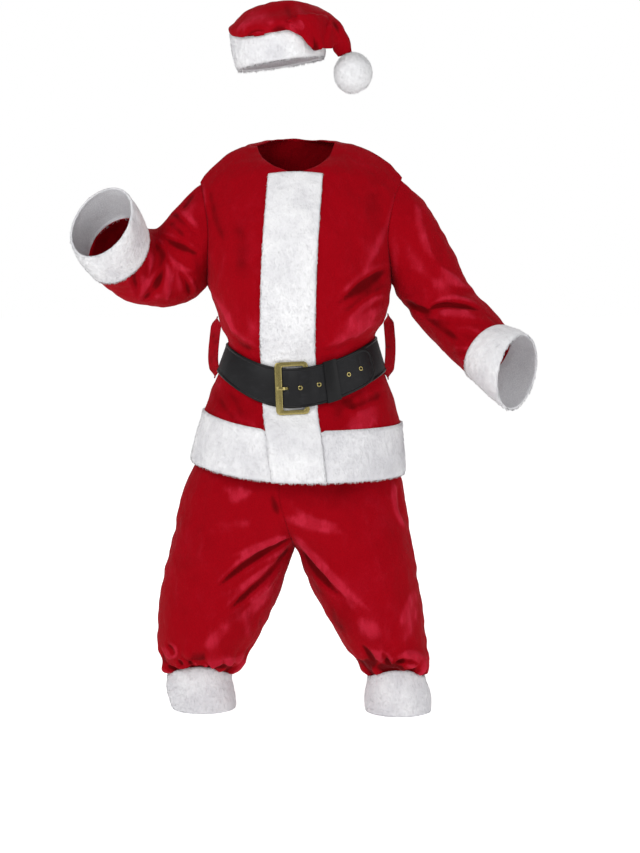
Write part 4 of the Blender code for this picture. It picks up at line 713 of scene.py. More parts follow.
def material(name):
    """One of the suit's finishes, made the first time it is asked for."""
    if name not in bpy.data.materials:
        scene = bpy.context.scene
        belt = scene.suit_belt
        makers = {
            "plush": lambda: plush_material(scene.suit_plush),
            "fur": lambda: fur_material(scene.suit_fur, "fur"),
            "fur_pile": lambda: fur_material(scene.suit_fur, "fur_pile"),
            "pompom": lambda: fur_material(scene.suit_fur, "pompom", *POMPOM),
            "pompom_pile": lambda: fur_material(scene.suit_fur, "pompom_pile", *POMPOM),
            "thread": thread_material,
            "fur_backing": lambda: backing_material(scene.suit_fur),
            "vinyl": lambda: vinyl_material("vinyl", belt.colour, roughness=0.48, coat=0.04),
            "binding": lambda: vinyl_material("binding", belt.edge, roughness=0.36, coat=0.12),
            "brass": lambda: brass_material(belt.brass),
        }
        makers[name]()
    return bpy.data.materials[name]


# ------------------------------------------------------------------------------------ mesh helpers


def new_object(name, data):
    """An object at the origin, alone in the selection."""
    piece = bpy.data.objects.new(name, data)
    bpy.context.scene.collection.objects.link(piece)
    bpy.ops.object.select_all(action="DESELECT")
    bpy.context.view_layer.objects.active = piece
    piece.select_set(True)
    return piece


def from_bmesh(name, mesh):
    """An object of a bmesh's points and faces."""
    mesh.verts.index_update()
    data = bpy.data.meshes.new(name)
    data.from_pydata([v.co[:] for v in mesh.verts], [], [[v.index for v in f.verts] for f in mesh.faces])
    mesh.free()
    return new_object(name, data)


def triangles_mesh(name, points, triangles, **attributes):
    """A mesh of many triangles, made at once, with a number for each point in each attribute."""
    data = bpy.data.meshes.new(name)
    data.vertices.add(len(points))
    data.vertices.foreach_set("co", points.astype(np.float32).ravel())
    data.loops.add(triangles.size)
    data.loops.foreach_set("vertex_index", triangles.astype(np.int32).ravel())
    data.polygons.add(len(triangles))
    data.polygons.foreach_set("loop_start", np.arange(0, triangles.size, 3, dtype=np.int32))
    data.update(calc_edges=True)
    for key, values in attributes.items():
        write_attribute(data, key, values)
    return data


def write_attribute(data, name, values):
    """Keeps a number for each point."""
    made = data.attributes.get(name) or data.attributes.new(name, "FLOAT", "POINT")
    made.data.foreach_set("value", np.asarray(values, np.float32))


def read_points(data, what="co"):
    """The points, or their normals, as rows of three."""
    values = np.zeros(3 * len(data.vertices), np.float32)
    if what == "co":
        data.vertices.foreach_get("co", values)
    else:
        data.vertex_normals.foreach_get("vector", values)
    return values.reshape(-1, 3).astype(float)


def write_points(data, points):
    data.vertices.foreach_set("co", points.astype(np.float32).ravel())
    data.update()


def apply(piece, kind, **settings):
    """Adds one modifier and applies it."""
    bpy.context.view_layer.objects.active = piece
    made = piece.modifiers.new(kind, kind)
    for key, value in settings.items():
        setattr(made, key, value)
    bpy.ops.object.modifier_apply(modifier=made.name)


def subdivide(piece, steps):
    apply(piece, "SUBSURF", levels=steps, render_levels=steps, boundary_smooth="PRESERVE_CORNERS")


def merged(node):
    """A CAD node's triangles, joined at their corners."""
    mesh = bmesh.new()
    mesh.from_mesh(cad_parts[node].data)
    bmesh.ops.remove_doubles(mesh, verts=mesh.verts, dist=MERGED)
    return mesh


def skins(mesh):
    """Groups of faces that meet at no sharp edge, the largest first."""
    groups, seen = [], set()
    for start in mesh.faces:
        if start in seen:
            continue
        seen.add(start)
        group = [start]
        for face in group:
            for edge in face.edges:
                if len(edge.link_faces) == 2 and edge.calc_face_angle() < SHARP:
                    for other in edge.link_faces:
                        if other not in seen:
                            seen.add(other)
                            group.append(other)
        groups.append(group)
    return sorted(groups, key=lambda group: -sum(face.calc_area() for face in group))


def outward_first(node, mesh):
    """The outward and the inward skin of a wall."""
    middle = sum((v.co for v in mesh.verts), Vector()) / len(mesh.verts)
    panel = node.startswith(PANELS)

    def facing(group):
        total = 0
        for face in group:
            arm = face.calc_center_median() - (Vector((middle.x, 0, 0)) if panel else middle)
            if panel:
                arm.z = 0
            total += arm.dot(face.normal) * face.calc_area()
        return total

    return sorted(skins(mesh)[:2], key=facing, reverse=True)


def make_quads(mesh):
    bmesh.ops.join_triangles(mesh, faces=mesh.faces[:], angle_face_threshold=QUADS,
                             angle_shape_threshold=math.pi, topology_influence=2.0)


def tree_of(nodes):
    """A search tree over these CAD nodes' faces."""
    points, faces = [], []
    for node in nodes:
        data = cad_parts[node].data
        first = len(points)
        points += [v.co[:] for v in data.vertices]
        faces += [[first + v for v in face.vertices] for face in data.polygons]
    return BVHTree.FromPolygons(points, faces)


def points_tree(points):
    """A search tree over points, which gives their places in the list."""
    tree = KDTree(len(points))
    for place, point in enumerate(points):
        tree.insert(Vector(point), place)
    tree.balance()
    return tree


def smoothstep(value, low, high):
    share = np.clip((value - low) / (high - low), 0, 1)
    return share * share * (3 - 2 * share)


def noise_at(points, size, seed, squeeze=1.0):
    """Smooth noise from about -0.5 to 0.5 whose lumps are this size, in metres."""
    scale = np.array((1, 1, squeeze)) / size
    return np.array([noise.noise(Vector(p)) for p in points * scale + SEED_SHIFT * seed])


def layered(points, layers):
    """Layers of noise, each by its share."""
    return sum(share * noise_at(points, size, seed, squeeze) for size, seed, squeeze, share in layers)


# ------------------------------------------------------------------------------------ plush pieces


def strokes(points, normals, lines):
    """For each drawn line: the points near it, how many half widths off, above or below, and how much."""
    steps = np.linspace(0, 1, LINE_POINTS)
    thin, swell, full = LINE_TAPER
    for view, numbers in ((view, numbers) for view, rows in lines.items() for numbers in rows):
        axis, facing, share = VIEWS[view]
        weight = share * np.clip(LINE_FACING[0] * (normals @ np.array(facing)) - LINE_FACING[1], 0, 1)
        place = np.stack((points[:, axis], points[:, 2]), 1) / MM
        start, through, end = np.array(numbers[:6], float).reshape(3, 2)
        half, strength = numbers[6:]
        bow = 2 * through - (start + end) / 2
        line = ((1 - steps) ** 2)[:, None] * start + (2 * steps * (1 - steps))[:, None] * bow
        line += (steps ** 2)[:, None] * end
        reach = LINE_REACH * half
        near = (weight > 0) & (place > line.min(0) - reach).all(1) & (place < line.max(0) + reach).all(1)
        if not near.any():
            continue
        away = place[near][:, None, :] - line[None]
        distance = np.hypot(away[..., 0], away[..., 1])
        index = distance.argmin(1)
        along = steps[index]
        width = half * (thin + swell * np.sin(np.pi * along) ** full)
        ends = np.sqrt(np.clip(4 * along * (1 - along), LINE_ENDS, 1))
        tangent = line[np.clip(index + 1, 0, LINE_POINTS - 1)] - line[np.clip(index - 1, 0, LINE_POINTS - 1)]
        side = place[near] - line[index]
        upper = np.sign(tangent[:, 0] * side[:, 1] - tangent[:, 1] * side[:, 0])
        upper *= np.sign(end[0] - start[0] or 1)
        yield near, distance.min(1) / width, upper, strength * ends * weight[near]


def crease_lift(points, normals, lines):
    """How far the creases move each point along its normal, in mm."""
    above, below, apart, broad = RIDGES
    lift = np.zeros(len(points))
    for near, off, upper, depth in strokes(points, normals, lines):
        shape = -np.exp(-off ** 2)
        if depth.max() > 0:
            shape = shape + np.where(upper > 0, above, below) * np.exp(-((off - apart) / broad) ** 2)
        lift[near] += depth * shape
    return lift


def highlight_and_brushing(points, normals, lines):
    """How much painted highlight each point gets, above 0, or painted shade, below 0."""
    tone = np.zeros(len(points))
    for near, off, _, amount in strokes(points, normals, lines):
        tone[near] += amount * np.exp(-off ** 2)
    return tone


def puckers(points):
    """How far the trousers' legs are gathered at each point, from 0 to 1, and their folds, from -1 to 1."""
    all_in, none, left, right = GATHER
    sharpness, size, seed = GATHER_FOLDS
    gathered = 1 - smoothstep(points[:, 2], all_in, none)
    turn = np.arctan2(points[:, 1], points[:, 0] - np.where(points[:, 0] > 0, left, right))
    ring = np.stack((np.cos(turn), np.sin(turn), GATHER_RISE[0] * points[:, 2] / GATHER_RISE[1]), 1)
    return gathered, np.clip(sharpness * noise_at(ring, size, seed), -1, 1)


def cover_distance(points, nodes):
    """How far each point is from the pieces that lie over it."""
    tree = tree_of(nodes)
    return np.array([tree.find_nearest(Vector(p), COVER_LOOK)[3] or COVER_LOOK for p in points])


def edges_of(data):
    """The two ends of every edge, and whether each point lies on the sheet's border."""
    uses = np.zeros(len(data.loops), np.int32)
    data.loops.foreach_get("edge_index", uses)
    ends = np.zeros(2 * len(data.edges), np.int32)
    data.edges.foreach_get("vertices", ends)
    ends = ends.reshape(-1, 2)
    border = np.zeros(len(data.vertices), bool)
    border[ends[np.bincount(uses, minlength=len(ends)) == 1].ravel()] = True
    return ends, border


class Sheet:
    """The outward face of one cloth piece while it is shaped."""

    def __init__(self, node):
        mesh = merged(node)
        outward, inward = outward_first(node, mesh)
        hidden = {v for face in inward for v in face.verts}
        kept = {face for face in outward if hidden.isdisjoint(face.verts)}
        bmesh.ops.delete(mesh, geom=[face for face in mesh.faces if face not in kept], context="FACES")
        make_quads(mesh)
        name = "fur_" + node.replace("hat_", "") if node in FUR else "cloth_" + node
        self.node = node
        self.piece = from_bmesh(name, mesh)
        subdivide(self.piece, STEPS)
        data = self.piece.data
        self.points, self.normals = read_points(data), read_points(data, "normal")
        self.ends, self.border = edges_of(data)
        ends = self.ends
        inner = self.border[ends].sum(1) == 1
        ends = np.where(self.border[ends[inner, :1]], ends[inner], ends[inner][:, ::-1])
        self.outwards = np.zeros_like(self.points)
        np.add.at(self.outwards, ends[:, 0], self.points[ends[:, 0]] - self.points[ends[:, 1]])
        self.outwards = unit(self.outwards)
        self.rim = np.flatnonzero(self.border)
        tree = points_tree(self.points[self.rim])
        found = [tree.find(Vector(p)) for p in self.points]
        self.near = np.array([hit[1] for hit in found])
        self.away = np.array([hit[2] for hit in found])
        self.lift = None                           # along the normals, set as it is shaped
        self.free = np.ones(len(self.points))      # 0 where something presses on it
        self.moved = None                          # its points once they are lifted and sewn

    def tone(self, values):
        # Painted light, above 0, and painted shade, below 0, on the pile
        write_attribute(self.piece.data, "nap", values)


def shape_plush(sheet, plush):
    """Creases and slow swells, which fade where something lies on the cloth, with painted highlight on ridges
    and painted shade in folds.
    """
    kind, covers = CLOTH[sheet.node]
    points = sheet.points
    lift = plush.crease * crease_lift(points, sheet.normals, CREASES[kind]) * MM
    # Painted highlight on ridges and painted shade in folds, from the lift, and the painted strokes
    nap = np.clip(lift / FULL_SHADE_LIFT, -1, 1) + highlight_and_brushing(points, sheet.normals, PAINTED_LIGHT[kind])
    swell = layered(points, SWELL)
    lift += SWELL_LIFT * plush.lumps * swell
    gap = cover_distance(points, covers)
    lift *= np.where(lift > 0, smoothstep(gap, *RAISED_FADE), smoothstep(gap, *SUNK_FADE))
    if kind == "trousers":
        gathered, folds = puckers(points)
        lift += plush.gather * gathered * (folds - GATHER_SINK) * smoothstep(gap, *GATHER_FADE)
        # Painted shade in the gathers' hollows, painted light on their crests
        nap = nap + GATHER_SHADE * gathered * folds
    sheet.lift = lift
    # Painted light and shade that follow the swells, and painted shade at the seams
    dark, far = SEAM_SHADE
    sheet.tone(np.clip(nap + SWELL_SHADE * swell - dark * (1 - smoothstep(sheet.away, 0, far)), -1, 1))


def slouch(sheet):
    """Lets the crown sag over the brim and rest on it, and fills out its end."""
    points = sheet.points
    brim = tree_of(("hat_brim",))
    away = np.array([brim.find_nearest(Vector(p))[3] for p in points])
    front = smoothstep(-sheet.normals[:, 1], *SAG_FACING)
    amount = np.interp(points[:, 0] / MM, *zip(*SLOUCH)) * MM * front
    full, less, none = SAG_FADE
    bag = smoothstep(away, 0, full) * (1 - smoothstep(away, less, none))
    out = unit(sheet.normals * (1, 1, 0))
    push = SAG_PUSH[0] * bag * smoothstep(amount, 0, SAG_PUSH[1])
    sagged = points - np.outer(amount * bag, (0, 0, 1))
    clear = sum(far * smoothstep(away, low, high) for far, low, high in SAG_CLEAR)
    reach, look = SAG_LOOK
    for index in np.flatnonzero(amount * bag > SAG_LEAST):
        for drop in SAG_DROPS:
            start = Vector(sagged[index] + out[index] * reach - (0, 0, drop))
            hit = brim.ray_cast(start, Vector(-out[index]), look * reach)
            if hit[0]:
                push[index] = max(push[index], (reach - hit[3] + clear[index]) * (1 - drop / SAG_RELIEF))
    shift = sagged + out * push[:, None] - points
    first, second = sheet.ends.T
    uses = np.bincount(sheet.ends.ravel(), minlength=len(points))[:, None]
    for _ in range(SAG_ROUNDS):
        total = np.zeros_like(shift)
        np.add.at(total, first, shift[second])
        np.add.at(total, second, shift[first])
        shift = np.where(sheet.border[:, None], shift, SAG_KEPT[0] * shift + SAG_KEPT[1] * total / uses)
    sheet.points = points + shift
    across, height, reach, far = TAIL
    inner = np.array(TAIL_WAY)
    near = np.exp(-((points[:, 0] - across) ** 2 + (points[:, 2] - height) ** 2) / reach ** 2)
    sheet.points = sheet.points + np.outer(far * near * np.clip(sheet.normals @ inner, 0, 1), inner)


def shape_fur(sheet, fur):
    """Soft clumps, and edges that turn in, with painted light or shade for the trim and painted shade at its
    edges.
    """
    light, obstacles = FUR[sheet.node]
    clumps = layered(sheet.points, CLUMPS)
    least, more, far = FLAT_EDGE
    height = least + more * smoothstep(sheet.away, 0, far)
    sheet.lift = fur.lumps * clumps * height - fur.roll * (1 - smoothstep(sheet.away, 0, ROLL_FADE))
    if obstacles:
        sheet.free = smoothstep(cover_distance(sheet.points, obstacles), *PRESS_FADE)
        sheet.lift = sheet.lift * sheet.free - PRESSED * (1 - sheet.free)
    dark, far = EDGE_SHADE
    # Painted light or shade for the trim, mottled by its clumps, and painted shade at its edges
    sheet.tone(clumps + light - dark * (1 - smoothstep(sheet.away, 0, far)))
    write_attribute(sheet.piece.data, "border", 1 - smoothstep(sheet.away, 0, EDGE_FADE))


def neighbours(rows):
    """For each edge point of the sheets, its mates on the other sheets, and the way they all face."""
    points = [sheet.points[sheet.rim[place]] for sheet, place in rows]
    normals = [sheet.normals[sheet.rim[place]] for sheet, place in rows]
    tree = points_tree(points)
    mates, facing = [], []
    for own, (sheet, _) in enumerate(rows):
        nearest = {}
        for _, index, distance in tree.find_range(Vector(points[own]), SEAM_REACH):
            other = rows[index][0]
            if other is not sheet and distance < nearest.get(other.node, (1, 0))[0]:
                nearest[other.node] = (distance, index)
        mates.append([index for _, index in nearest.values()])
        facing.append(unit(np.sum([normals[index] for index in [own] + mates[-1]], axis=0)[None])[0])
    return mates, facing


def sew(sheets, plush, fur):
    """Brings the edges of neighbours together, and lays each trim's edge over the plush it is sewn to."""
    sewn = [sheet for sheet in sheets if sheet.node != "front_band"]
    rows = [(sheet, place) for sheet in sewn for place in range(len(sheet.rim))]
    mates, facing = neighbours(rows)
    own, count = {}, 0
    for sheet in sewn:
        own[sheet.node] = slice(count, count + len(sheet.rim))
        count += len(sheet.rim)
        turn = (np.array(facing[own[sheet.node]]) - sheet.normals[sheet.rim])[sheet.near]
        sheet.normals = unit(sheet.normals + (1 - smoothstep(sheet.away, 0, TURN_FADE))[:, None] * turn)
    for sheet in sheets:
        sheet.moved = sheet.points + sheet.normals * sheet.lift[:, None]
    moved = np.array([sheet.moved[sheet.rim[place]] for sheet, place in rows])
    furry = np.array([sheet.node in FUR for sheet, _ in rows])
    goal = moved.copy()
    for index, near in enumerate(mates):
        same = [index] + [mate for mate in near if furry[mate] == furry[index]]
        other = [mate for mate in near if furry[mate] != furry[index]]
        sink = 0.0 if not near or furry[index] else plush.seam
        goal[index] = moved[same].mean(0) - facing[index] * sink
        if furry[index] and other:
            sheet, place = rows[index]
            out, free = sheet.outwards[sheet.rim[place]], sheet.free[sheet.rim[place]]
            goal[index] = moved[other].mean(0) + free * (facing[index] * TRIM_RISE + out * fur.overlap)
    for sheet in sewn:
        pull = (goal - moved)[own[sheet.node]]
        fade = 1 - smoothstep(sheet.away, 0, PULL_FADE)
        sheet.moved = sheet.moved + pull[sheet.near] * fade[:, None]
    for sheet in sheets:
        write_points(sheet.piece.data, sheet.moved)


def thicken(piece, wall):
    """Gives a sheet its wall, with few faces on the side that nobody sees."""
    piece.vertex_groups.new(name="inside")
    apply(piece, "SOLIDIFY", thickness=wall, offset=-1, use_quality_normals=True, material_offset=1,
          shell_vertex_group="inside")
    apply(piece, "DECIMATE", ratio=INSIDE_FACES, vertex_group="inside", vertex_group_factor=1)
    piece.vertex_groups.clear()


def finish(piece, slot, nodes, *finishes, smooth=None):
    """Finishes, shading and body, and the nodes that a piece stands for, which it hides. Slot is not used.
    Smooth is an angle.
    """
    for name in finishes:
        piece.data.materials.append(material(name))
    if smooth is None:
        piece.data.polygons.foreach_set("use_smooth", [True] * len(piece.data.polygons))
    elif smooth:
        bpy.ops.object.shade_smooth_by_angle(angle=math.radians(smooth))
    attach(piece, "root")
    if nodes:
        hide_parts(*nodes)
    return piece


def declare(piece, node, **more):
    """Looks up a cloth piece's cut; nothing more is done with it."""
    if node in CUTS:
        width, length, area, held, rests = CUTS[node]
        list(rests)


# -------------------------------------------------------------------------------------- fur pieces


def pompom(fur):
    """A ball of pile."""
    mesh = merged("hat_pompom")
    make_quads(mesh)
    piece = from_bmesh("fur_pompom", mesh)
    subdivide(piece, 2)
    points, normals = read_points(piece.data), read_points(piece.data, "normal")
    clumps = layered(points, BALL_CLUMPS)
    write_points(piece.data, points + normals * (BALL_LUMPS * fur.lumps * clumps)[:, None])
    # Painted light on the ball, mottled by its clumps
    write_attribute(piece.data, "nap", BALL_LIGHT[0] + BALL_LIGHT[1] * clumps)
    write_attribute(piece.data, "border", np.full(len(points), BALL_BORDER))
    return piece


def outer_triangles(data):
    """The points of each triangle that has a piece's first finish."""
    data.calc_loop_triangles()
    corners = np.zeros(3 * len(data.loop_triangles), np.int32)
    data.loop_triangles.foreach_get("vertices", corners)
    faces = np.zeros(len(data.loop_triangles), np.int32)
    data.loop_triangles.foreach_get("polygon_index", faces)
    indices = np.zeros(len(data.polygons), np.int32)
    data.polygons.foreach_get("material_index", indices)
    return corners.reshape(-1, 3)[indices[faces] == 0]


def scattered(piece, draw, gap):
    """Points spread over a piece's outer faces, the way out at each, its painted light and shade and how near
    an edge it is.
    """
    data = piece.data
    corners = outer_triangles(data)
    points, normals = read_points(data), read_points(data, "normal")
    a, b, c = (points[corners[:, k]] for k in range(3))
    areas = np.linalg.norm(np.cross(b - a, c - a), axis=1) / 2
    count = int(areas.sum() / gap ** 2)
    chosen = np.searchsorted(np.cumsum(areas) / areas.sum(), draw.random(count)).clip(0, len(areas) - 1)
    u, v = draw.random(count), draw.random(count)
    u, v = np.where(u + v > 1, 1 - u, u)[:, None], np.where(u + v > 1, 1 - v, v)[:, None]
    roots, up = (sum(rows[corners[chosen, k]] * share for k, share in enumerate((1 - u - v, u, v)))
                 for rows in (points, normals))
    kept = []
    for name in ("nap", "border"):
        values = np.zeros(len(points), np.float32)
        data.attributes[name].data.foreach_get("value", values)
        kept.append(values[corners[chosen]].mean(1))
    return roots, unit(up), *kept


def drawn_together(roots, tips, draw):
    """The tips, gathered a little into locks."""
    heads = draw.choice(len(roots), max(1, len(roots) // LOCK[0]), replace=False)
    tree = points_tree(roots[heads])
    nearest = heads[[tree.find(Vector(p))[1] for p in roots]]
    return tips + LOCK[1] * (tips[nearest] - tips)


def tufts(piece, fur, seed, obstacles=(), length=1.0, spacing=1.0, lean=TUFT_LEAN[1]):
    """Pointed tufts over a trim's outer faces, which lie along the nap and take the trim's own shading."""
    draw = np.random.default_rng(seed)
    roots, up, trim_light_and_shade, border = scattered(piece, draw, spacing * fur.spacing)
    upward = -(up @ np.array(DOWN))
    down = np.array(DOWN) + up * upward[:, None]
    size = fur.pile * length * (TUFT_LENGTH[0] + TUFT_LENGTH[1] * draw.random(len(roots)))
    size *= TUFT_EDGE[0] + TUFT_EDGE[1] * border
    size *= 1 - TUFT_TOP * np.clip(upward, 0, 1) * (lean > 1)
    stray = draw.normal(0, TUFT_STRAY, (len(roots), 3))
    tips = roots + unit(up * TUFT_LEAN[0] + down * lean + stray) * size[:, None]
    tips = drawn_together(roots, tips, draw)
    if obstacles:
        over = tree_of(obstacles)
        look, filled, least = ROOM
        room = np.array([over.find_nearest(Vector(p), look)[3] or look for p in roots])
        share = np.clip(filled * room / size, 0, 1)
        tips = roots + (tips - roots) * share[:, None]
        roots, tips, up, size, trim_light_and_shade = (rows[share > least] for rows in (roots, tips, up, size, trim_light_and_shade))
    aim = unit(tips - roots)
    points, triangles = cones(roots - up * TUFT_ROOT, tips, aim, TUFT_WIDTH * size, draw)
    # Tips painted lighter than roots, as painted shade deep in the pile
    bright = TUFT_TIP[0] + TUFT_TIP[1] * draw.random(len(roots))
    tip = np.tile((0.0, 0.0, 0.0, 1.0), len(roots)) * np.repeat(bright, 4)
    name = piece.name + "_pile"
    pile = new_object(name, triangles_mesh(name, points, triangles, tip=tip, nap=np.repeat(trim_light_and_shade, 4)))
    finish(pile, "fur_white", (), "pompom_pile" if "pompom" in name else "fur_pile")
    shade = unit(up * TUFT_SHADE[0] + aim * TUFT_SHADE[1])
    pile.data.normals_split_custom_set_from_vertices(np.repeat(shade, 4, axis=0).tolist())
    return pile


def cones(feet, tips, aim, radius, draw):
    """The points and triangles of three-sided cones, each turned by chance."""
    steep = np.abs(aim[:, :1]) > STEEP
    across = unit(np.cross(aim, np.where(steep, (0.0, 1.0, 0.0), (1.0, 0.0, 0.0))))
    third = np.cross(aim, across)
    turn = draw.random(len(feet))[:, None] * 2 * math.pi
    ring = [feet + radius[:, None] * (np.cos(turn + k) * across + np.sin(turn + k) * third)
            for k in (0, 2 * math.pi / 3, 4 * math.pi / 3)]
    triangles = 4 * np.arange(len(feet))[:, None, None] + np.array(CONE_FACES)
    return np.stack(ring + [tips], 1).reshape(-1, 3), triangles.reshape(-1, 3)


def unit(rows):
    """The rows' ways, each with a length of 1."""
    return rows / np.maximum(np.linalg.norm(rows, axis=1), TINY)[:, None]


# ------------------------------------------------------------------------------------------- belt


def hard_piece(node, name, slot, look, bevel, steps=2, smooth=35, subdivisions=0):
    """A merged copy of a hard CAD node with rounded edges."""
    mesh = merged(node)
    if subdivisions:
        make_quads(mesh)
    else:
        bmesh.ops.dissolve_limit(mesh, angle_limit=FLAT, verts=mesh.verts, edges=mesh.edges)
    piece = from_bmesh(name, mesh)
    if bevel:
        apply(piece, "BEVEL", width=bevel, segments=steps, limit_method="ANGLE", angle_limit=CORNER)
    if subdivisions:
        subdivide(piece, subdivisions)
    return finish(piece, slot, (node,), look, smooth=smooth)


def strap_border():
    """The line round the strap's outer face, from its hidden end, and the ways out of and into the face."""
    mesh = merged("belt_strap")
    kept = set(outward_first("belt_strap", mesh)[0])
    border = {edge for edge in mesh.edges if sum(face in kept for face in edge.link_faces) == 1}
    lines = []
    for start in mesh.edges:
        if start not in border:
            continue
        line, rows, edge, corner = [], [], start, start.verts[0]
        while edge:
            border.discard(edge)
            face = next(face for face in edge.link_faces if face in kept)
            middle = (edge.verts[0].co + edge.verts[1].co) / 2
            line.append(corner.co[:])
            rows.append((*face.normal, *(face.calc_center_median() - middle)))
            corner = edge.other_vert(corner)
            edge = next((e for e in corner.link_edges if e in border), None)
        lines.append((np.array(line), np.array(rows)))
    mesh.free()
    points, rows = max(lines, key=lambda line: np.linalg.norm(np.diff(line[0], axis=0), axis=1).sum())
    low, high = (np.array(corner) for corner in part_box("buckle_frame"))
    bar = np.array((low[0], low[1], (low[2] + high[2]) / 2))
    first = np.linalg.norm(points - bar, axis=1).argmin()
    turned = [np.roll(part, -first, axis=0) for part in (points, rows)]
    points, rows = (np.vstack((part, part[:1])) for part in turned)
    return points, rows[:, :3], rows[:, 3:]


def spread(at, lengths, rows):
    """The rows that belong to these lengths along a line."""
    return np.stack([np.interp(at, lengths, rows[:, k]) for k in range(3)], -1)


def even(points, step):
    """Points at even steps along a line, how far along each lies, and how far the line's own points do."""
    lengths = np.concatenate([[0], np.cumsum(np.linalg.norm(np.diff(points, axis=0), axis=1))])
    at = np.linspace(0, lengths[-1], max(4, int(lengths[-1] / step)))
    return spread(at, lengths, points), at, lengths


# --------------------------------------------------------------------------------------- operators


class SUIT_OT_cloth(bpy.types.Operator):
    """Cuts, creases and sews the plush pieces and their fur trims"""

    bl_idname = "suit.cloth"
    bl_label = "Plush and trims"

    def execute(self, context):
        plush, fur = context.scene.suit_plush, context.scene.suit_fur
        sheets = [Sheet(node) for node in list(CLOTH) + list(FUR)]
        for sheet in sheets:
            if sheet.node in FUR:
                shape_fur(sheet, fur)
            else:
                shape_plush(sheet, plush)
                if sheet.node == "hat_crown":
                    slouch(sheet)
        sew(sheets, plush, fur)
        for seed, sheet in enumerate(sheets):
            if sheet.node in FUR:
                finish(sheet.piece, "fur_white", (sheet.node,), "fur", "fur_backing")
                thicken(sheet.piece, fur.wall)
                pile = tufts(sheet.piece, fur, seed, FUR[sheet.node][1])
                declare(sheet.piece, sheet.node, with_pieces=[pile])
            else:
                finish(sheet.piece, "plush_red", (sheet.node,), "plush")
                thicken(sheet.piece, plush.wall)
                declare(sheet.piece, sheet.node)
        return {"FINISHED"}


class SUIT_OT_small_plush(bpy.types.Operator):
    """Makes the belt loops and the gathered waistband"""

    bl_idname = "suit.small_plush"
    bl_label = "Belt loops and waistband"

    def execute(self, context):
        for node, steps in (("belt_loop_left", 2), ("belt_loop_right", 2), ("trouser_waistband", 1)):
            mesh = merged(node)
            make_quads(mesh)
            piece = from_bmesh("cloth_" + node, mesh)
            apply(piece, "BEVEL", width=LOOP_BEVEL, segments=2, limit_method="ANGLE", angle_limit=SHARP)
            subdivide(piece, steps)
            points, normals = read_points(piece.data), read_points(piece.data, "normal")
            swell = layered(points, LOOP_SWELL)
            points += normals * (LOOP_LUMPS * swell)[:, None]
            if node.startswith("belt_loop"):
                points[:, 0] += twist(points, 1 if node.endswith("left") else -1)
            write_points(piece.data, points)
            # Painted light and shade on the swells, and painted shade over the whole loop
            write_attribute(piece.data, "nap", LOOP_SHADE[0] * swell - LOOP_SHADE[1])
            declare(finish(piece, "plush_red", (node,), "plush"), node)
        return {"FINISHED"}


def twist(points, side):
    """How far a belt loop's points move across, so that it turns its face forward between its ends."""
    low, high = points.min(0), points.max(0)
    middle, half = (low + high) / 2, (high - low) / 2
    forward = (points[:, 1] - middle[1]) / half[1]
    height = np.abs(points[:, 2] - middle[2]) / half[2]
    return side * LOOP_TURN * forward * (1 - smoothstep(height, *LOOP_FADE))


class SUIT_OT_pompom(bpy.types.Operator):
    """Makes the hat's pompom"""

    bl_idname = "suit.pompom"
    bl_label = "Pompom"

    def execute(self, context):
        fur = context.scene.suit_fur
        ball = pompom(fur)
        finish(ball, "fur_white", ("hat_pompom",), "pompom")
        tufts(ball, fur, BALL_SEED, **BALL_TUFTS)
        return {"FINISHED"}


class SUIT_OT_binding(bpy.types.Operator):
    """Binds the strap's edges and stitches them down"""

    bl_idname = "suit.binding"
    bl_label = "Belt binding"

    def execute(self, context):
        line, facing, into = strap_border()
        points, at, lengths = even(line, BINDING_STEP)
        out, into = (spread(at, lengths, rows) for rows in (facing, into))
        out = unit(out)
        along = unit(np.gradient(points, axis=0))
        inward = unit(np.cross(out, along))
        inward *= np.sign((inward * into).sum())
        binding([points + (inward * u + out * v) * MM for u, v in BINDING])
        stitches(points, at, out, along, inward)
        return {"FINISHED"}


def black_piece(name, points, faces, look, smooth=0):
    """A new piece of the belt, with its faces outward."""
    data = bpy.data.meshes.new(name)
    data.from_pydata(np.asarray(points).tolist(), [], faces)
    piece = new_object(name, data)
    bpy.ops.object.mode_set(mode="EDIT")
    bpy.ops.mesh.select_all(action="SELECT")
    bpy.ops.mesh.normals_make_consistent(inside=False)
    bpy.ops.object.mode_set(mode="OBJECT")
    finish(piece, "belt_black", (), look, smooth=smooth)


def binding(rings):
    """A closed band swept through these lines."""
    rings = np.stack(rings, 1)
    rows, count = rings.shape[:2]
    index = np.arange(rows * count).reshape(rows, count)
    turned = np.roll(index, -1, axis=1)
    faces = np.stack([index[:-1], turned[:-1], turned[1:], index[1:]], -1).reshape(-1, 4).tolist()
    faces += [index[0][::-1].tolist(), index[-1].tolist()]
    black_piece("vinyl_binding", rings.reshape(-1, 3), faces, "binding", smooth=60)


def stitches(points, at, out, along, inward):
    """Short thread stitches along the binding."""
    inset, step, half = (value * MM for value in STITCH)
    foot, height = STITCH_OUT
    made, faces = [], []
    for distance in np.arange(step, at[-1] - step, step):
        middle, up, ahead, side = (spread(distance, at, rows) for rows in (points, out, along, inward))
        middle = middle + side * inset + up * foot * MM
        faces += [[len(made) + k for k in face] for face in BLOCK_FACES]
        made += [middle + ahead * u * STITCH_SHARE * step + side * v * half + up * w * height * MM
                 for u, v, w in STITCH_BLOCK]
    black_piece("thread_binding", made, faces, "thread")


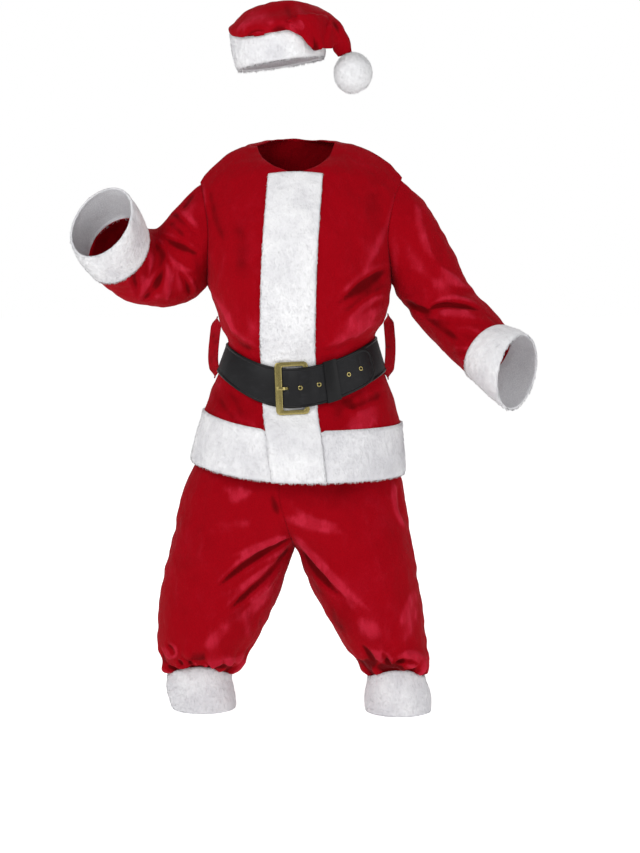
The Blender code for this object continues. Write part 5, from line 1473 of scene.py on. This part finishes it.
class SUIT_OT_belt(bpy.types.Operator):
    """Makes the strap, its keeper, the buckle and the eyelets"""

    bl_idname = "suit.belt"
    bl_label = "Belt and buckle"

    def execute(self, context):
        bevel = context.scene.suit_belt.bevel
        hard_piece("belt_strap", "vinyl_strap", "belt_black", "vinyl", bevel, smooth=40)
        hard_piece("belt_keeper", "vinyl_keeper", "belt_black", "binding", bevel)
        hard_piece("buckle_frame", "brass_frame", "gold", "brass", FRAME_BEVEL * bevel, steps=3)
        hard_piece("buckle_prong", "brass_prong", "gold", "brass", PRONG_BEVEL * bevel)
        for number in range(1, EYELETS + 1):
            node = f"belt_eyelet_{number}"
            widen(hard_piece(node, f"brass_eyelet_{number}", "gold", "brass", 0, subdivisions=2, smooth=60))
        return {"FINISHED"}


def widen(ring):
    """Thins an eyelet's ring, so that its hole shows."""
    inner, outer = EYELET
    points = read_points(ring.data)
    centred = points - points.mean(0)
    across = unit(np.linalg.svd(centred, full_matrices=False)[2])
    flat = centred @ across[:2].T
    radius = np.linalg.norm(flat, axis=1)
    wanted = inner * MM + (radius - radius.min()) / np.ptp(radius) * (outer - inner) * MM
    moved = flat * (wanted / radius)[:, None]
    write_points(ring.data, points + (moved - flat) @ across[:2])


class SUIT_OT_stage(bpy.types.Operator):
    """Sets the floor, the lights and the camera"""

    bl_idname = "suit.stage"
    bl_label = "Stage"

    def execute(self, context):
        stage = context.scene.suit_stage
        bpy.ops.object.select_all(action="DESELECT")
        low = CAD_BOX[0][2]
        bpy.ops.mesh.primitive_plane_add(size=FLOOR_SIZE, location=(0, 0, low))
        floor = context.object
        floor.name = "stage_floor"
        bpy.ops.object.transform_apply(location=True)
        floor.data.materials.append(floor_material(stage))
        for name, setting, size, place in LAMPS:
            lamp = bpy.data.lights.new(name, "AREA")
            lamp.energy, lamp.size = getattr(stage, setting), size
            aimed(name, lamp, place, LAMP_AIM)
        context.scene.world = room(stage)
        view = bpy.data.cameras.new("camera")
        view.lens, view.sensor_fit, view.sensor_height = LENS, "VERTICAL", SENSOR
        context.scene.camera = aimed("camera", view, CAMERA, CAMERA_AIM)
        context.scene.view_settings.view_transform = "Standard"
        return {"FINISHED"}


def room(stage):
    """A white room, which the camera sees brighter than it lights the suit."""
    world = bpy.data.worlds.new("room")
    world.use_nodes = True
    tree = world.node_tree
    sky, wall = tree.nodes["Background"], tree.nodes.new("ShaderNodeBackground")
    seen, both = tree.nodes.new("ShaderNodeLightPath"), tree.nodes.new("ShaderNodeMixShader")
    for light, power in ((sky, stage.sky), (wall, stage.wall)):
        light.inputs["Color"].default_value = (1, 1, 1, 1)
        light.inputs["Strength"].default_value = power
    tree.links.new(seen.outputs["Is Camera Ray"], both.inputs[0])
    tree.links.new(sky.outputs[0], both.inputs[1])
    tree.links.new(wall.outputs[0], both.inputs[2])
    tree.links.new(both.outputs[0], tree.nodes["World Output"].inputs[0])
    return world


def aimed(name, data, place, at):
    """A lamp or a camera that looks from one place at another."""
    holder = bpy.data.objects.new(name, data)
    bpy.context.scene.collection.objects.link(holder)
    holder.location = place
    holder.rotation_euler = (Vector(at) - holder.location).to_track_quat("-Z", "Y").to_euler()
    return holder


OPERATORS = (SUIT_OT_stage, SUIT_OT_cloth, SUIT_OT_small_plush, SUIT_OT_pompom, SUIT_OT_belt, SUIT_OT_binding)


class SUIT_PT_panel(bpy.types.Panel):
    """The suit's sizes, colours and pieces"""

    bl_idname = "SUIT_PT_panel"
    bl_label = "Santa suit"
    bl_space_type = "VIEW_3D"
    bl_region_type = "UI"
    bl_category = "Suit"

    def draw(self, context):
        for operator in OPERATORS:
            self.layout.operator(operator.bl_idname)
        for key, group in GROUPS.items():
            box = self.layout.box()
            box.label(text=group.__doc__)
            for name in group.__annotations__:
                box.prop(getattr(context.scene, key), name)


def register():
    for group in GROUPS.values():
        bpy.utils.register_class(group)
    for operator in OPERATORS + (SUIT_PT_panel,):
        bpy.utils.register_class(operator)
    for key, group in GROUPS.items():
        setattr(bpy.types.Scene, key, bpy.props.PointerProperty(type=group))


def unregister():
    for key in GROUPS:
        delattr(bpy.types.Scene, key)
    for made in (SUIT_PT_panel,) + OPERATORS + tuple(GROUPS.values()):
        bpy.utils.unregister_class(made)


def main():
    register()
    bpy.ops.suit.stage()
    bpy.ops.suit.cloth()
    bpy.ops.suit.small_plush()
    bpy.ops.suit.pompom()
    bpy.ops.suit.belt()
    bpy.ops.suit.binding()


if __name__ == "__main__":
    main()
